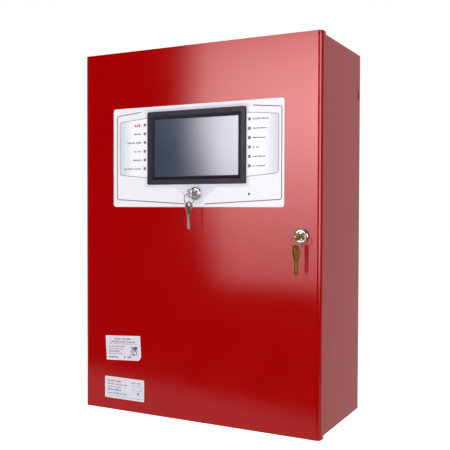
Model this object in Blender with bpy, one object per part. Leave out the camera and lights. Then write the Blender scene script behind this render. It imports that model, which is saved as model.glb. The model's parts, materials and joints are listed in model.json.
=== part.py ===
"""Wall-mounted fire alarm control panel with a hinged steel door, touch screen, two key locks and batteries.

The origin is the centre of the cabinet's back face. +Z is up, +X is to the right of a person who faces
the panel, and the door faces -Y. Lengths in this file are millimetres; make() turns them into metres.
"""

import math

import bmesh
import bpy
from mathutils import Matrix, Vector

MM = 0.001
GAP = 0.3  # clearance left between neighbouring pieces

# Driving dimensions of the enclosure
DOOR_W = 428.0
DOOR_H = 600.0
DEPTH = 195.0
SHEET = 1.5
DOOR_LIP = 15.0
DOOR_BEND_R = 8.0
DOOR_EDGE_R = 1.8
BOX_INSET = 2.5
BOX_HINGE_INSET = 7.0
BOX_FRONT = 3.0
BOX_FRONT_BEND_R = 4.0
RIM = 13.0
FRONT = -DEPTH  # Y of the door's outer face

BOX_LEFT = -DOOR_W / 2 + BOX_HINGE_INSET
BOX_RIGHT = DOOR_W / 2 - BOX_INSET
BOX_TOP = DOOR_H / 2 - BOX_INSET
INNER_LEFT = BOX_LEFT + SHEET
INNER_RIGHT = BOX_RIGHT - SHEET
INNER_TOP = BOX_TOP - SHEET

# Hinge: its pin runs up the left side, just behind the door's lip
HINGE_X = -DOOR_W / 2 + 4.4
HINGE_Y = FRONT + DOOR_LIP + 3.0
HINGE_LENGTH = 560.0
KNUCKLE_R = 2.2
PIN_R = 1.0
KNUCKLES = 14

# Rubber pads on the back of the door, which meet the cabinet's rim
BUMPER = (8.0, 30.0)
BUMPER_INSET = 10.0
BUMPER_Z = 220.0

# Display group on the door
FACE_CENTRE = (1.0, 124.4)
FACE_SIZE = (310.0, 163.0)
FACE_THICK = 0.7
SCREEN_CENTRE = (4.0, 138.0)
SCREEN_SIZE = (152.0, 92.0)
BEZEL_SIZE = (178.0, 118.0)
CUTOUT_SIZE = (168.6, 107.6)
LED_X = (-91.8, 98.3)
LED_TOP = 177.0
LED_PITCH = 14.25
LED_COUNT = 6
SOUNDER = (97.8, 63.0)

# Locks: X and Z of each axis, and the depth of the surface that its head rests on
ACCESS_LOCK = (4.5, 64.0)
ACCESS_HEAD_R = 10.5
DOOR_LOCK = (183.5, 0.0)
DOOR_HEAD_R = 11.5
LOCK_HEAD = 4.0
BARREL_R = 9.2
PLUG_R = 6.0
LOCK_HOLE_R = 9.6
BLADE = (1.8, 7.0)  # thickness and width
BLADE_LENGTH = 22.5
NECK_LENGTH = 4.5
BITS = 4  # notches along each edge of the blade
BOW = (17.0, 15.0)  # along and across the key
BOW_HOLE_R = 2.75
BOW_HOLE_INSET = 4.6
RING_R = 8.5
RING_WIRE_R = 0.8
SPARE_ANGLE = math.radians(11)  # how far round the ring each of two spare keys hangs
SPARE_TURN = math.radians(63)  # from facing the front, about the vertical

# Inside the cabinet
BATTERY = (181.0, 76.0, 167.0)
BATTERY_GAP = 10.0
CHASSIS_Y = -14.6
BOARD_Y = -24.3
KNOCKOUTS = 7
KNOCKOUT_PITCH = 50.0
KNOCKOUT_R = 10.0
KNOCKOUT_Y = -40.0
SIDE_KNOCKOUT = (-22.0, 230.0, 14.0)  # Y, Z and radius
KNOCKOUT_SLIT = 1.0
KNOCKOUT_STEP = 0.3  # how far each disc is pressed in
GROMMETS = 2  # knock-outs that are open and carry a grommet, from the left


def material(name, colour, roughness, metallic=0.0):
    made = bpy.data.materials.new(name)
    made.use_nodes = True
    shader = made.node_tree.nodes["Principled BSDF"]
    shader.inputs["Base Color"].default_value = (*colour, 1.0)
    shader.inputs["Roughness"].default_value = roughness
    shader.inputs["Metallic"].default_value = metallic
    return made


def make_materials():
    return {
        "red_paint": material("red_paint", (0.35, 0.004, 0.004), 0.3),
        "white_label": material("white_label", (0.88, 0.87, 0.9), 0.4),
        "black_plastic": material("black_plastic", (0.035, 0.033, 0.04), 0.4),
        "screen_glass": material("screen_glass", (0.25, 0.28, 0.33), 0.1),
        "grey_lens": material("grey_lens", (0.2, 0.19, 0.22), 0.25),
        "zinc_steel": material("zinc_steel", (0.6, 0.6, 0.58), 0.35, 1.0),
        "chrome": material("chrome", (0.75, 0.75, 0.76), 0.1, 1.0),
        "nickel": material("nickel", (0.66, 0.63, 0.58), 0.22, 1.0),
        "brass": material("brass", (0.5, 0.3, 0.09), 0.28, 1.0),
        "circuit_board": material("circuit_board", (0.02, 0.13, 0.06), 0.45),
        "terminal_green": material("terminal_green", (0.03, 0.28, 0.12), 0.45),
        "battery_case": material("battery_case", (0.06, 0.06, 0.07), 0.5),
        "rubber": material("rubber", (0.02, 0.02, 0.02), 0.7),
        "wire_red": material("wire_red", (0.5, 0.02, 0.02), 0.4),
        "wire_black": material("wire_black", (0.02, 0.02, 0.02), 0.4),
        "wire_earth": material("wire_earth", (0.2, 0.45, 0.05), 0.4),
        "ribbon_grey": material("ribbon_grey", (0.4, 0.41, 0.43), 0.5),
    }


# Shapes in bmesh, in millimetres


def box(low, high):
    bm = bmesh.new()
    bmesh.ops.create_cube(bm, size=1.0)
    size = [h - l for l, h in zip(low, high)]
    middle = [(h + l) / 2 for l, h in zip(low, high)]
    bmesh.ops.transform(bm, verts=bm.verts, matrix=Matrix.LocRotScale(middle, None, size))
    return bm


def bevel(bm, chosen, radius, segments):
    """Rounds the edges for which chosen(start, end) is true."""
    edges = [e for e in bm.edges if chosen(e.verts[0].co, e.verts[1].co)]
    bmesh.ops.bevel(bm, geom=edges, offset=radius, segments=segments, profile=0.5, affect="EDGES")
    return bm


def prism(outline, axis, start, end):
    """Extrudes a closed outline along X, Y or Z; the outline's pairs fill the other two axes in order."""
    bm = bmesh.new()
    loops = []
    for along in (start, end):
        verts = []
        for a, b in outline:
            place = [a, b]
            place.insert("XYZ".index(axis), along)
            verts.append(bm.verts.new(place))
        loops.append(verts)
    bm.faces.new(loops[0])
    bm.faces.new(loops[1])
    count = len(outline)
    for i in range(count):
        j = (i + 1) % count
        bm.faces.new((loops[0][i], loops[0][j], loops[1][j], loops[1][i]))
    return bm


def arc(centre, radius, start, end, segments):
    """Points on an arc, with angles in degrees."""
    points = []
    for i in range(segments + 1):
        angle = math.radians(start + (end - start) * i / segments)
        points.append((centre[0] + radius * math.cos(angle), centre[1] + radius * math.sin(angle)))
    return points


def circle(centre, radius, sides):
    return arc(centre, radius, 0, 360, sides)[:-1]


def rounded_rectangle(centre, size, radius, segments=3):
    points = []
    for turn, (sx, sy) in enumerate(((1, 1), (-1, 1), (-1, -1), (1, -1))):
        corner = (centre[0] + sx * (size[0] / 2 - radius), centre[1] + sy * (size[1] / 2 - radius))
        points += arc(corner, radius, 90 * turn, 90 * turn + 90, segments)
    return points


def rectangle(centre, size):
    (x, y), (w, h) = centre, (size[0] / 2, size[1] / 2)
    return [(x - w, y - h), (x + w, y - h), (x + w, y + h), (x - w, y + h)]


def bent_strip(points, thickness):
    """Outline of a strip of sheet bent along the points, with mitred corners."""
    sides = ([], [])
    for i, here in enumerate(points):
        here = Vector(here)
        before = (here - Vector(points[i - 1])).normalized() if i else None
        after = (Vector(points[i + 1]) - here).normalized() if i + 1 < len(points) else None
        first = before or after
        last = after or before
        normal = Vector((-(first.y + last.y), first.x + last.x)).normalized()
        reach = thickness / 2 / normal.dot(Vector((-first.y, first.x)))
        sides[0].append(tuple(here + normal * reach))
        sides[1].append(tuple(here - normal * reach))
    return sides[0] + sides[1][::-1]


def turned(profile, centre, axis, sides):
    """Turns a closed profile of (radius, distance along the axis) pairs round an X, Y or Z axis."""
    bm = bmesh.new()
    across = [i for i in range(3) if i != "XYZ".index(axis)]
    loops = []
    for radius, along in profile:
        loop = []
        for i in range(sides if radius > 0 else 1):
            angle = 2 * math.pi * i / sides
            place = list(centre)
            place["XYZ".index(axis)] = along
            place[across[0]] += radius * math.cos(angle)
            place[across[1]] += radius * math.sin(angle)
            loop.append(bm.verts.new(place))
        loops.append(loop)
    solid = profile[0][0] == 0
    for k in range(len(loops) - (1 if solid else 0)):
        near, far = loops[k], loops[(k + 1) % len(loops)]
        for i in range(sides):
            j = (i + 1) % sides
            corners = [near[i % len(near)], near[j % len(near)], far[j % len(far)], far[i % len(far)]]
            corners = list(dict.fromkeys(corners))
            bm.faces.new(corners)
    return bm


def together(shapes):
    """Puts several separate closed shapes into one mesh."""
    whole = bmesh.new()
    for shape in shapes:
        mesh = bpy.data.meshes.new("shape")
        bmesh.ops.recalc_face_normals(shape, faces=shape.faces)
        shape.to_mesh(mesh)
        whole.from_mesh(mesh)
        shape.free()
        bpy.data.meshes.remove(mesh)
    return whole


# Objects


def make(name, bm, finish, origin=(0, 0, 0), parent=None):
    """A mesh object in metres whose origin is at the given point."""
    bmesh.ops.recalc_face_normals(bm, faces=bm.faces)
    bmesh.ops.translate(bm, verts=bm.verts, vec=-Vector(origin))
    bmesh.ops.scale(bm, verts=bm.verts, vec=(MM, MM, MM))
    mesh = bpy.data.meshes.new(name)
    bm.to_mesh(mesh)
    bm.free()
    mesh.shade_smooth()
    mesh.set_sharp_from_angle(angle=math.radians(30))
    obj = bpy.data.objects.new(name, mesh)
    bpy.context.scene.collection.objects.link(obj)
    if finish:
        mesh.materials.append(finish)
    settle(obj, origin, parent)
    return obj


def settle(obj, origin, parent):
    place = Vector(origin) * MM
    obj["world"] = list(place)
    if parent:
        obj.parent = parent
        place = place - Vector(parent["world"])
    obj.location = place


def axis_empty(name, origin, parent=None):
    empty = bpy.data.objects.new(name, None)
    empty.empty_display_size = 0.02
    bpy.context.scene.collection.objects.link(empty)
    settle(empty, origin, parent)
    return empty


def combine(obj, bm, operation):
    other = make(obj.name + "_" + operation.lower(), bm, None)
    other.hide_render = True
    other.display_type = "WIRE"
    modifier = obj.modifiers.new(operation.title(), "BOOLEAN")
    modifier.operation = operation
    modifier.solver = "EXACT"
    modifier.object = other
    return obj


def cut(obj, bm):
    return combine(obj, bm, "DIFFERENCE")


def add(obj, bm):
    return combine(obj, bm, "UNION")


def wire(name, route, radius, finish, parent=None):
    """A round wire along a smooth curve through the route's points."""
    points = smooth_route(route, 5)
    curve = bpy.data.curves.new(name, "CURVE")
    curve.dimensions = "3D"
    curve.bevel_depth = radius * MM
    curve.bevel_resolution = 2
    curve.use_fill_caps = True
    spline = curve.splines.new("POLY")
    spline.points.add(len(points) - 1)
    for point, place in zip(spline.points, points):
        point.co = (*(Vector(place) * MM), 1.0)
    curve.materials.append(finish)
    obj = bpy.data.objects.new(name, curve)
    bpy.context.scene.collection.objects.link(obj)
    settle(obj, (0, 0, 0), parent)
    return obj


def smooth_route(route, steps):
    """Catmull-Rom points through a route of 2-D or 3-D places."""
    places = [Vector(p) for p in route]
    places = [places[0] * 2 - places[1]] + places + [places[-1] * 2 - places[-2]]
    points = []
    for a, b, c, d in zip(places, places[1:], places[2:], places[3:]):
        for i in range(steps):
            t = i / steps
            blend = b * 2 + (c - a) * t + (a * 2 - b * 5 + c * 4 - d) * t**2
            points.append((blend + (b * 3 - a - c * 3 + d) * t**3) / 2)
    points.append(places[-2])
    return [tuple(p) for p in points]


# Enclosure


def knockout_slits(centre, radius, axis, wall, tab=22):
    """Two arc-shaped slits that leave a disc held by two tabs."""
    slits = []
    for turn in (0, 180):
        outer = arc(centre, radius, turn + tab, turn + 180 - tab, 7)
        inner = arc(centre, radius - KNOCKOUT_SLIT, turn + 180 - tab, turn + tab, 7)
        slits.append(prism(outer + inner, axis, wall - 5, wall + 5))
    return slits


def knockout_press(centre, radius, axis, wall):
    """The shallow round recess that a knock-out's disc sits in."""
    return prism(circle(centre, radius - KNOCKOUT_SLIT / 2, 24), axis, wall - KNOCKOUT_STEP, wall + 5)


def back_box(m):
    body = box((BOX_LEFT, FRONT + BOX_FRONT, -BOX_TOP), (BOX_RIGHT, 0, BOX_TOP))
    bevel(body, lambda a, b: a.y > -1 and b.y > -1 and abs(a.x - b.x) < 1, 2.0, 2)
    bevel(body, lambda a, b: is_front_upright(a, b, FRONT + BOX_FRONT), BOX_FRONT_BEND_R, 3)
    obj = make("back_box", body, m["red_paint"])
    front = FRONT + BOX_FRONT + SHEET
    inside = box((INNER_LEFT, front, -INNER_TOP), (INNER_RIGHT, -SHEET, INNER_TOP))
    bevel(inside, lambda a, b: is_front_upright(a, b, front), BOX_FRONT_BEND_R - SHEET, 3)
    cut(obj, inside)
    mouth = box(
        (BOX_LEFT + RIM, FRONT, -BOX_TOP + RIM), (BOX_RIGHT - RIM - 1.5, FRONT + 20, BOX_TOP - RIM)
    )
    holes = [mouth]
    for side in (-1, 1):
        holes.append(keyhole_cutter(150 * side, 280))
    holes.append(prism(circle((0, -200), 3.5, 12), "Y", -5, 5))
    holes += knockout_slits(SIDE_KNOCKOUT[:2], SIDE_KNOCKOUT[2], "X", BOX_RIGHT)
    presses = [knockout_press(SIDE_KNOCKOUT[:2], SIDE_KNOCKOUT[2], "X", BOX_RIGHT)]
    for i in range(KNOCKOUTS):
        centre = (knockout_x(i), KNOCKOUT_Y)
        if i < GROMMETS:
            holes.append(prism(circle(centre, KNOCKOUT_R, 20), "Z", BOX_TOP - 5, BOX_TOP + 5))
        else:
            holes += knockout_slits(centre, KNOCKOUT_R, "Z", BOX_TOP)
            presses.append(knockout_press(centre, KNOCKOUT_R, "Z", BOX_TOP))
    cut(obj, together(holes))
    return cut(obj, together(presses))


def is_front_upright(a, b, front):
    """True for a vertical edge that lies in the plane Y = front."""
    return abs(a.y - front) < 0.01 and abs(b.y - front) < 0.01 and abs(a.z - b.z) > 1


def knockout_x(i):
    return (i - (KNOCKOUTS - 1) / 2) * KNOCKOUT_PITCH


def keyhole_cutter(x, z):
    slot = arc((x, z), 6, 120, 420, 10)
    slot += [(x + 3, z + 11), (x - 3, z + 11)]
    return prism(slot, "Y", -5, 5)


def door_panel(m, parent):
    half_w, half_h = DOOR_W / 2, DOOR_H / 2
    body = box((-half_w, FRONT, -half_h), (half_w, FRONT + DOOR_LIP, half_h))
    bevel(body, lambda a, b: is_front_upright(a, b, FRONT), DOOR_BEND_R, 5)
    bevel(
        body,
        lambda a, b: abs(a.z - b.z) < 1 and max(a.y, b.y) < FRONT + DOOR_LIP - 1 and abs(a.z) > half_h - 1,
        DOOR_EDGE_R,
        2,
    )
    obj = make("door_panel", body, m["red_paint"], (HINGE_X, HINGE_Y, 0), parent)
    inside = box(
        (-half_w + SHEET, FRONT + SHEET, -half_h + SHEET),
        (half_w - SHEET, FRONT + DOOR_LIP + 5, half_h - SHEET),
    )
    bevel(inside, lambda a, b: is_front_upright(a, b, FRONT + SHEET), DOOR_BEND_R - SHEET, 5)
    cut(obj, inside)
    holes = [prism(rectangle(SCREEN_CENTRE, CUTOUT_SIZE), "Y", FRONT - 5, FRONT + 8)]
    holes += front_holes()
    holes.append(prism(circle(DOOR_LOCK, LOCK_HOLE_R, 24), "Y", FRONT - 5, FRONT + 8))
    return cut(obj, together(holes))


def front_holes():
    """Cutters shared by the door and its faceplate: lamps, sounder and access lock."""
    holes = []
    for x in LED_X:
        for z in led_heights():
            holes.append(prism(circle((x, z), 2.6, 8), "Y", FRONT - 5, FRONT + 8))
    holes.append(prism(circle(SOUNDER, 1.1, 8), "Y", FRONT - 5, FRONT + 8))
    holes.append(prism(circle(ACCESS_LOCK, LOCK_HOLE_R, 24), "Y", FRONT - 5, FRONT + 8))
    return holes


def led_heights():
    return [LED_TOP - LED_PITCH * i for i in range(LED_COUNT)]


def hinge_leaf(name, m, parent, first, low, high):
    """A hinge leaf with every second knuckle; low and high are the leaf plate's corners in X and Y."""
    pitch = HINGE_LENGTH / KNUCKLES
    plate = box((low[0], low[1], -HINGE_LENGTH / 2), (high[0], high[1], HINGE_LENGTH / 2))
    obj = make(name, plate, m["zinc_steel"], (HINGE_X, HINGE_Y, 0), parent)
    gaps = []
    knuckles = []
    for i in range(KNUCKLES):
        bottom = -HINGE_LENGTH / 2 + i * pitch
        if i % 2 == first:
            profile = [
                (PIN_R + GAP, bottom + GAP),
                (KNUCKLE_R, bottom + GAP),
                (KNUCKLE_R, bottom + pitch - GAP),
                (PIN_R + GAP, bottom + pitch - GAP),
            ]
            knuckles.append(turned(profile, (HINGE_X, HINGE_Y, 0), "Z", 12))
        else:
            reach = KNUCKLE_R + 0.5
            gaps.append(
                box(
                    (HINGE_X - reach, HINGE_Y - reach, bottom - GAP),
                    (HINGE_X + reach, HINGE_Y + reach, bottom + pitch + GAP),
                )
            )
    cut(obj, together(gaps))
    return add(obj, together(knuckles))


def hinge(m, door):
    door_side = HINGE_X - KNUCKLE_R - 0.4
    leaf_start = FRONT + DOOR_BEND_R + 0.5
    hinge_leaf("hinge_door_leaf", m, door, 0, (door_side, leaf_start), (door_side + 1.0, HINGE_Y))
    box_side = BOX_LEFT - GAP
    hinge_leaf("hinge_cabinet_leaf", m, None, 1, (box_side - 0.8, HINGE_Y), (box_side, FRONT + 45))
    end = HINGE_LENGTH / 2 + 1
    profile = [(0, -end), (PIN_R, -end), (PIN_R, end), (0, end)]
    pin = turned(profile, (HINGE_X, HINGE_Y, 0), "Z", 10)
    make("hinge_pin", pin, m["zinc_steel"], (HINGE_X, HINGE_Y, 0))


def door_bumper(name, m, door, z):
    x = BOX_RIGHT - BUMPER_INSET
    width, height = BUMPER
    low = (x - width / 2, FRONT + SHEET + GAP, z - height / 2)
    high = (x + width / 2, FRONT + BOX_FRONT - GAP, z + height / 2)
    return make(name, box(low, high), m["rubber"], (x, FRONT, z), door)


# Display group


def faceplate_overlay(m, door):
    outline = rounded_rectangle(FACE_CENTRE, FACE_SIZE, 4.5)
    sheet = prism(outline, "Y", FRONT - GAP - FACE_THICK, FRONT - GAP)
    obj = make("faceplate_overlay", sheet, m["white_label"], (FACE_CENTRE[0], FRONT, FACE_CENTRE[1]), door)
    holes = [prism(rectangle(SCREEN_CENTRE, CUTOUT_SIZE), "Y", FRONT - 5, FRONT + 5)]
    return cut(obj, together(holes + front_holes()))


def display_bezel(m, door):
    back = FRONT - GAP - FACE_THICK - GAP
    front = back - 3.0
    body = prism(rounded_rectangle(SCREEN_CENTRE, BEZEL_SIZE, 2.0), "Y", front, back)
    bevel(body, lambda a, b: max(a.y, b.y) < front + 0.01, 0.8, 2)
    obj = make("display_bezel", body, m["black_plastic"], (SCREEN_CENTRE[0], back, SCREEN_CENTRE[1]), door)
    window = prism(rectangle(SCREEN_CENTRE, SCREEN_SIZE), "Y", front - 2, back + 2)
    for vert in window.verts:
        if vert.co.y < front:
            vert.co.x += math.copysign(8.0, vert.co.x - SCREEN_CENTRE[0])
            vert.co.z += math.copysign(8.0, vert.co.z - SCREEN_CENTRE[1])
    return cut(obj, window)


def centred_box(centre, size, y_low, y_high):
    (x, z), (w, h) = centre, (size[0] / 2, size[1] / 2)
    return box((x - w, y_low, z - h), (x + w, y_high, z + h))


def touch_panel(m, door):
    front = FRONT - GAP - FACE_THICK
    glass = centred_box(SCREEN_CENTRE, (166, 105), front, front + 1.8)
    make("touch_panel", glass, m["screen_glass"], (SCREEN_CENTRE[0], front, SCREEN_CENTRE[1]), door)


def lcd_module(m, door):
    front = FRONT + 1.1
    frame = centred_box(SCREEN_CENTRE, (165, 104), front, front + 5.0)
    obj = make("lcd_module", frame, m["zinc_steel"], (SCREEN_CENTRE[0], front, SCREEN_CENTRE[1]), door)
    return add(obj, centred_box(SCREEN_CENTRE, (96, 44), front + 4.0, front + 6.2))


def display_bracket(m, door):
    """A hat-shaped plate that holds the screen against the back of the door."""
    x, z = SCREEN_CENTRE
    foot = FRONT + SHEET + GAP + 0.6
    crown = FRONT + 9.1
    path = [(x - 120, foot), (x - 108, foot), (x - 108, crown), (x + 108, crown), (x + 108, foot), (x + 120, foot)]
    hat = prism(bent_strip(path, 1.2), "Z", z - 60, z + 60)
    obj = make("display_bracket", hat, m["zinc_steel"], (x, crown, z), door)
    windows = [box((x - 60, crown - 3, z - 34), (x - 6, crown + 3, z + 34))]
    windows.append(box((x + 6, crown - 3, z - 34), (x + 60, crown + 3, z + 34)))
    return cut(obj, together(windows))


def populated_board(name, m, low, high, y, facing, pillars, parts, parent=None):
    """A circuit board in the X-Z plane with pillars behind it and parts in front, all soldered to it.

    facing is -1 when the parts stand towards -Y; each part is (x, z, width, height, depth).
    """
    half = 0.8
    bm = box((low[0], y - half, low[1]), (high[0], y + half, high[1]))
    obj = make(name, bm, m["circuit_board"], ((low[0] + high[0]) / 2, y, (low[1] + high[1]) / 2), parent)
    shapes = []
    for sx in (low[0] + 6, high[0] - 6):
        for sz in (low[1] + 6, high[1] - 6):
            ends = sorted((y - facing * (half - 0.3), y - facing * (half + pillars)))
            shapes.append(prism(circle((sx, sz), 2.6, 6), "Y", *ends))
    for x, z, w, h, d in parts:
        ends = sorted((y + facing * (half - 0.3), y + facing * (half + d)))
        shapes.append(centred_box((x, z), (w, h), *ends))
    return add(obj, together(shapes))


def display_board(m, door):
    x, z = SCREEN_CENTRE
    parts = [
        (x - 67, z - 5, 10, 30, 6.0),
        (x - 20, z + 12, 24, 24, 1.8),
        (x + 14, z + 16, 14, 18, 1.4),
        (x + 14, z - 8, 12, 18, 1.4),
        (x + 50, z + 20, 12, 26, 7.0),
        (x + 50, z - 24, 16, 16, 5.0),
        (x - 20, z - 32, 40, 8, 6.0),
    ]
    populated_board("display_board", m, (x - 75, z - 46), (x + 75, z + 46), FRONT + 13.3, 1, 2.5, parts, door)


def lamp_group(side, x, m, door):
    """Six lamps: one moulded strip of lenses and the small board that lights it."""
    bottom, top = led_heights()[-1] - 6, led_heights()[0] + 6
    back = FRONT + SHEET + GAP
    strip = box((x - 3.5, back, bottom), (x + 3.5, back + 2.4, top))
    pipe = make("light_pipe_" + side, strip, m["grey_lens"], (x, back, LED_TOP), door)
    lenses = []
    for z in led_heights():
        profile = [(0, FRONT - 1.9), (1.4, FRONT - 1.7), (2.2, FRONT - 1.1), (2.2, back + 1), (0, back + 1)]
        lenses.append(turned(profile, (x, 0, z), "Y", 10))
    add(pipe, together(lenses))
    board = box((x - 6, back + 2.7, bottom - 2), (x + 6, back + 4.3, top + 2))
    make("led_board_" + side, board, m["circuit_board"], (x, back + 2.7, LED_TOP), door)


def sounder(m, door):
    x, z = SOUNDER
    back = FRONT + SHEET + GAP
    can = turned([(0, back), (6.0, back), (6.0, back + 8.5), (0, back + 8.5)], (x, 0, z), "Y", 16)
    obj = make("sounder", can, m["black_plastic"], (x, back, z), door)
    return cut(obj, prism(circle(SOUNDER, 1.2, 8), "Y", back - 2, back + 5))


# Locks and keys


def lock_group(prefix, centre, seat, head_r, m, door, closed_back):
    """A screwed lock barrel, its nut behind the door, and the plug that turns in it."""
    x, z = centre
    face = seat - GAP - LOCK_HEAD
    rear = FRONT + 22
    bore = PLUG_R + GAP
    profile = [
        (bore, face),
        (head_r - 1.5, face),
        (head_r, face + 1.5),
        (head_r, seat - GAP),
        (BARREL_R, seat - GAP),
        (BARREL_R, rear),
    ]
    if closed_back:
        profile = [(0, rear - 2), (bore, rear - 2)] + profile + [(0, rear)]
    else:
        profile.append((bore, rear))
    body = turned(profile, (x, 0, z), "Y", 24)
    make(prefix + "_lock_body", body, m["chrome"], (x, seat, z), door)
    nut_low = FRONT + SHEET + GAP
    ring = [(BARREL_R + GAP, nut_low), (13.0, nut_low), (13.0, nut_low + 4), (BARREL_R + GAP, nut_low + 4)]
    nut = turned(ring, (x, 0, z), "Y", 24)
    for vert in nut.verts:
        flatten_to_hexagon(vert, x, z, BARREL_R + 1, 12.0)
    make(prefix + "_lock_nut", nut, m["zinc_steel"], (x, nut_low, z), door)
    axis = axis_empty(prefix + "_plug_axis", (x, face, z), door)
    plug_face = face + 0.4
    if closed_back:
        tail = [(PLUG_R, rear - 2 - GAP), (0, rear - 2 - GAP)]
    else:
        tail = [(PLUG_R, rear), (3.0, rear), (3.0, rear + 2.8), (0, rear + 2.8)]
    plug = turned([(0, plug_face), (PLUG_R, plug_face)] + tail, (x, 0, z), "Y", 20)
    obj = make(prefix + "_lock_plug", plug, m["chrome"], (x, face, z), axis)
    slot = [centred_box(centre, (BLADE[0] + 0.7, BLADE[1] + 0.7), plug_face - 2, plug_face + BLADE_LENGTH + 1)]
    if not closed_back:
        slot.append(prism(circle(centre, 1.6, 8), "Y", rear - 1, rear + 6))
    cut(obj, together(slot))
    return axis, plug_face


def flatten_to_hexagon(vert, x, z, inner, across):
    """Pulls a round outer wall in to the sides of a hexagon."""
    dx, dz = vert.co.x - x, vert.co.z - z
    radius = math.hypot(dx, dz)
    if radius < inner:
        return
    off = (math.atan2(dz, dx) + math.pi / 6) % (math.pi / 3) - math.pi / 6
    wanted = across / math.cos(off)
    vert.co.x = x + dx * wanted / radius
    vert.co.z = z + dz * wanted / radius


def key_outline():
    """Flat outline of a key as (along, across): the blade's tip is at the far end, the bow starts at 0."""
    length, width = BOW
    half = BLADE[1] / 2
    bow_end = length
    neck_end = bow_end + NECK_LENGTH
    tip = neck_end + BLADE_LENGTH
    upper = arc((width / 2, 0), width / 2, 180, 90, 6)
    upper += [(bow_end - 3.0, width / 2), (bow_end, half + 1.2), (neck_end, half + 1.2), (neck_end, half)]
    for i in range(BITS):
        notch = neck_end + 3.0 + i * 4.0
        upper += [(notch, half), (notch + 1.0, half - 1.0), (notch + 2.0, half)]
    upper += [(tip - 2.0, half), (tip, half - 2.0)]
    lower = [(a, -b) for a, b in upper[1:]]
    return upper + lower[::-1]


def inserted_key(prefix, centre, plug_face, finish, axis):
    """The key in the lock, with its flat sides facing left and right."""
    x, z = centre
    outer_end = plug_face - NECK_LENGTH - BOW[0] - GAP
    outline = [(outer_end + along, z + across) for along, across in key_outline()]
    blank = prism(outline, "X", x - BLADE[0] / 2, x + BLADE[0] / 2)
    hole_y = outer_end + BOW_HOLE_INSET
    obj = make(prefix + "_key", blank, finish, (x, hole_y, z), axis)
    cut(obj, prism(circle((hole_y, z), BOW_HOLE_R, 12), "X", x - 5, x + 5))
    return (x, hole_y, z)


def key_ring(prefix, hole, m, parent):
    """A ring that hangs from the key's hole, level with the door."""
    x, y, z = hole
    hang = axis_empty(prefix + "_ring_axis", hole, parent)
    bm = bmesh.new()
    rows = []
    for i in range(24):
        a = 2 * math.pi * i / 24
        row = []
        for k in range(8):
            b = 2 * math.pi * k / 8
            reach = RING_R + RING_WIRE_R * math.cos(b)
            flat = Vector((reach * math.sin(a), RING_WIRE_R * math.sin(b), reach * math.cos(a) - RING_R))
            row.append(bm.verts.new(flat + Vector(hole)))
        rows.append(row)
    for i in range(24):
        for k in range(8):
            near, far = rows[i], rows[(i + 1) % 24]
            bm.faces.new((near[k], far[k], far[(k + 1) % 8], near[(k + 1) % 8]))
    make(prefix + "_key_ring", bm, m["zinc_steel"], hole, hang)
    return hang


def spare_key(name, hole, angle, finish, parent):
    """A key that hangs on the ring, half turned to the side; angle is its place from the ring's lowest point."""
    x = hole[0] + RING_R * math.sin(angle)
    y = hole[1]
    z = hole[2] - RING_R - RING_R * math.cos(angle)
    outline = [(across, BOW_HOLE_INSET - along) for along, across in key_outline()]
    place = Matrix.Translation((x, y, z)) @ Matrix.Rotation(SPARE_TURN, 4, "Z")
    blank = prism(outline, "Y", -BLADE[0] / 2, BLADE[0] / 2)
    hole_cutter = prism(circle((0, 0), BOW_HOLE_R, 12), "Y", -5, 5)
    for shape in (blank, hole_cutter):
        bmesh.ops.transform(shape, verts=shape.verts, matrix=place)
    return cut(make(name, blank, finish, (x, y, z), parent), hole_cutter)


def door_cam(m, axis):
    """A cranked cam that stands up while the lock is open and turns right behind the cabinet's rim to lock."""
    x, z = DOOR_LOCK
    hub = FRONT + 22 + GAP + 1.0
    tip = FRONT + 7.5
    path = [(hub, z - 6), (hub, z + 15.5), (tip, z + 15.5), (tip, z + 22)]
    obj = make("door_lock_cam", prism(bent_strip(path, 2.0), "X", x - 6, x + 6), m["zinc_steel"], (x, hub, z), axis)
    cut(obj, prism(circle(DOOR_LOCK, 3.3, 12), "Y", hub - 3, hub + 3))
    back = FRONT + 22 + GAP + 2.8 + 2 * GAP
    profile = [(0, back - 4), (1.2, back - 4), (1.2, back), (4.5, back), (4.5, back + 2), (0, back + 2)]
    screw = turned(profile, (x, 0, z), "Y", 12)
    make("door_lock_cam_screw", screw, m["zinc_steel"], (x, back, z), axis)


# Inside the cabinet


def chassis_plate(m):
    path = [(-184, -1.8), (-184, CHASSIS_Y), (184, CHASSIS_Y), (184, -1.8)]
    make("chassis_plate", prism(bent_strip(path, 1.2), "Z", -108, 268), m["zinc_steel"])


def main_board(m):
    parts = [
        (-166, 133, 10, 30, 7.0),
        (-120, 150, 28, 28, 2.0),
        (-84, 158, 14, 20, 1.6),
        (-84, 130, 14, 20, 1.6),
        (-120, 110, 20, 12, 9.0),
        (-50, 150, 18, 18, 14.0),
        (-24, 150, 18, 18, 14.0),
        (2, 150, 18, 18, 14.0),
        (-62, 202, 200, 10, 11.0),
        (-62, 40, 200, 10, 11.0),
        (36, 120, 10, 70, 8.0),
        (-140, 70, 12, 12, 16.0),
        (-120, 70, 12, 12, 16.0),
        (-70, 76, 40, 10, 6.0),
    ]
    populated_board("main_board", m, (-172, 30), (48, 210), BOARD_Y, -1, 7.5, parts)


def loop_card(name, left, m):
    parts = [
        (left + 25, 200, 38, 12, 11.0),
        (left + 16, 160, 18, 22, 15.0),
        (left + 38, 160, 12, 12, 10.0),
        (left + 25, 122, 20, 20, 2.0),
        (left + 15, 86, 12, 12, 12.0),
        (left + 36, 86, 12, 20, 8.0),
        (left + 25, 46, 30, 8, 7.0),
    ]
    populated_board(name, m, (left, 30), (left + 50, 210), BOARD_Y, -1, 7.5, parts)


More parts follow.
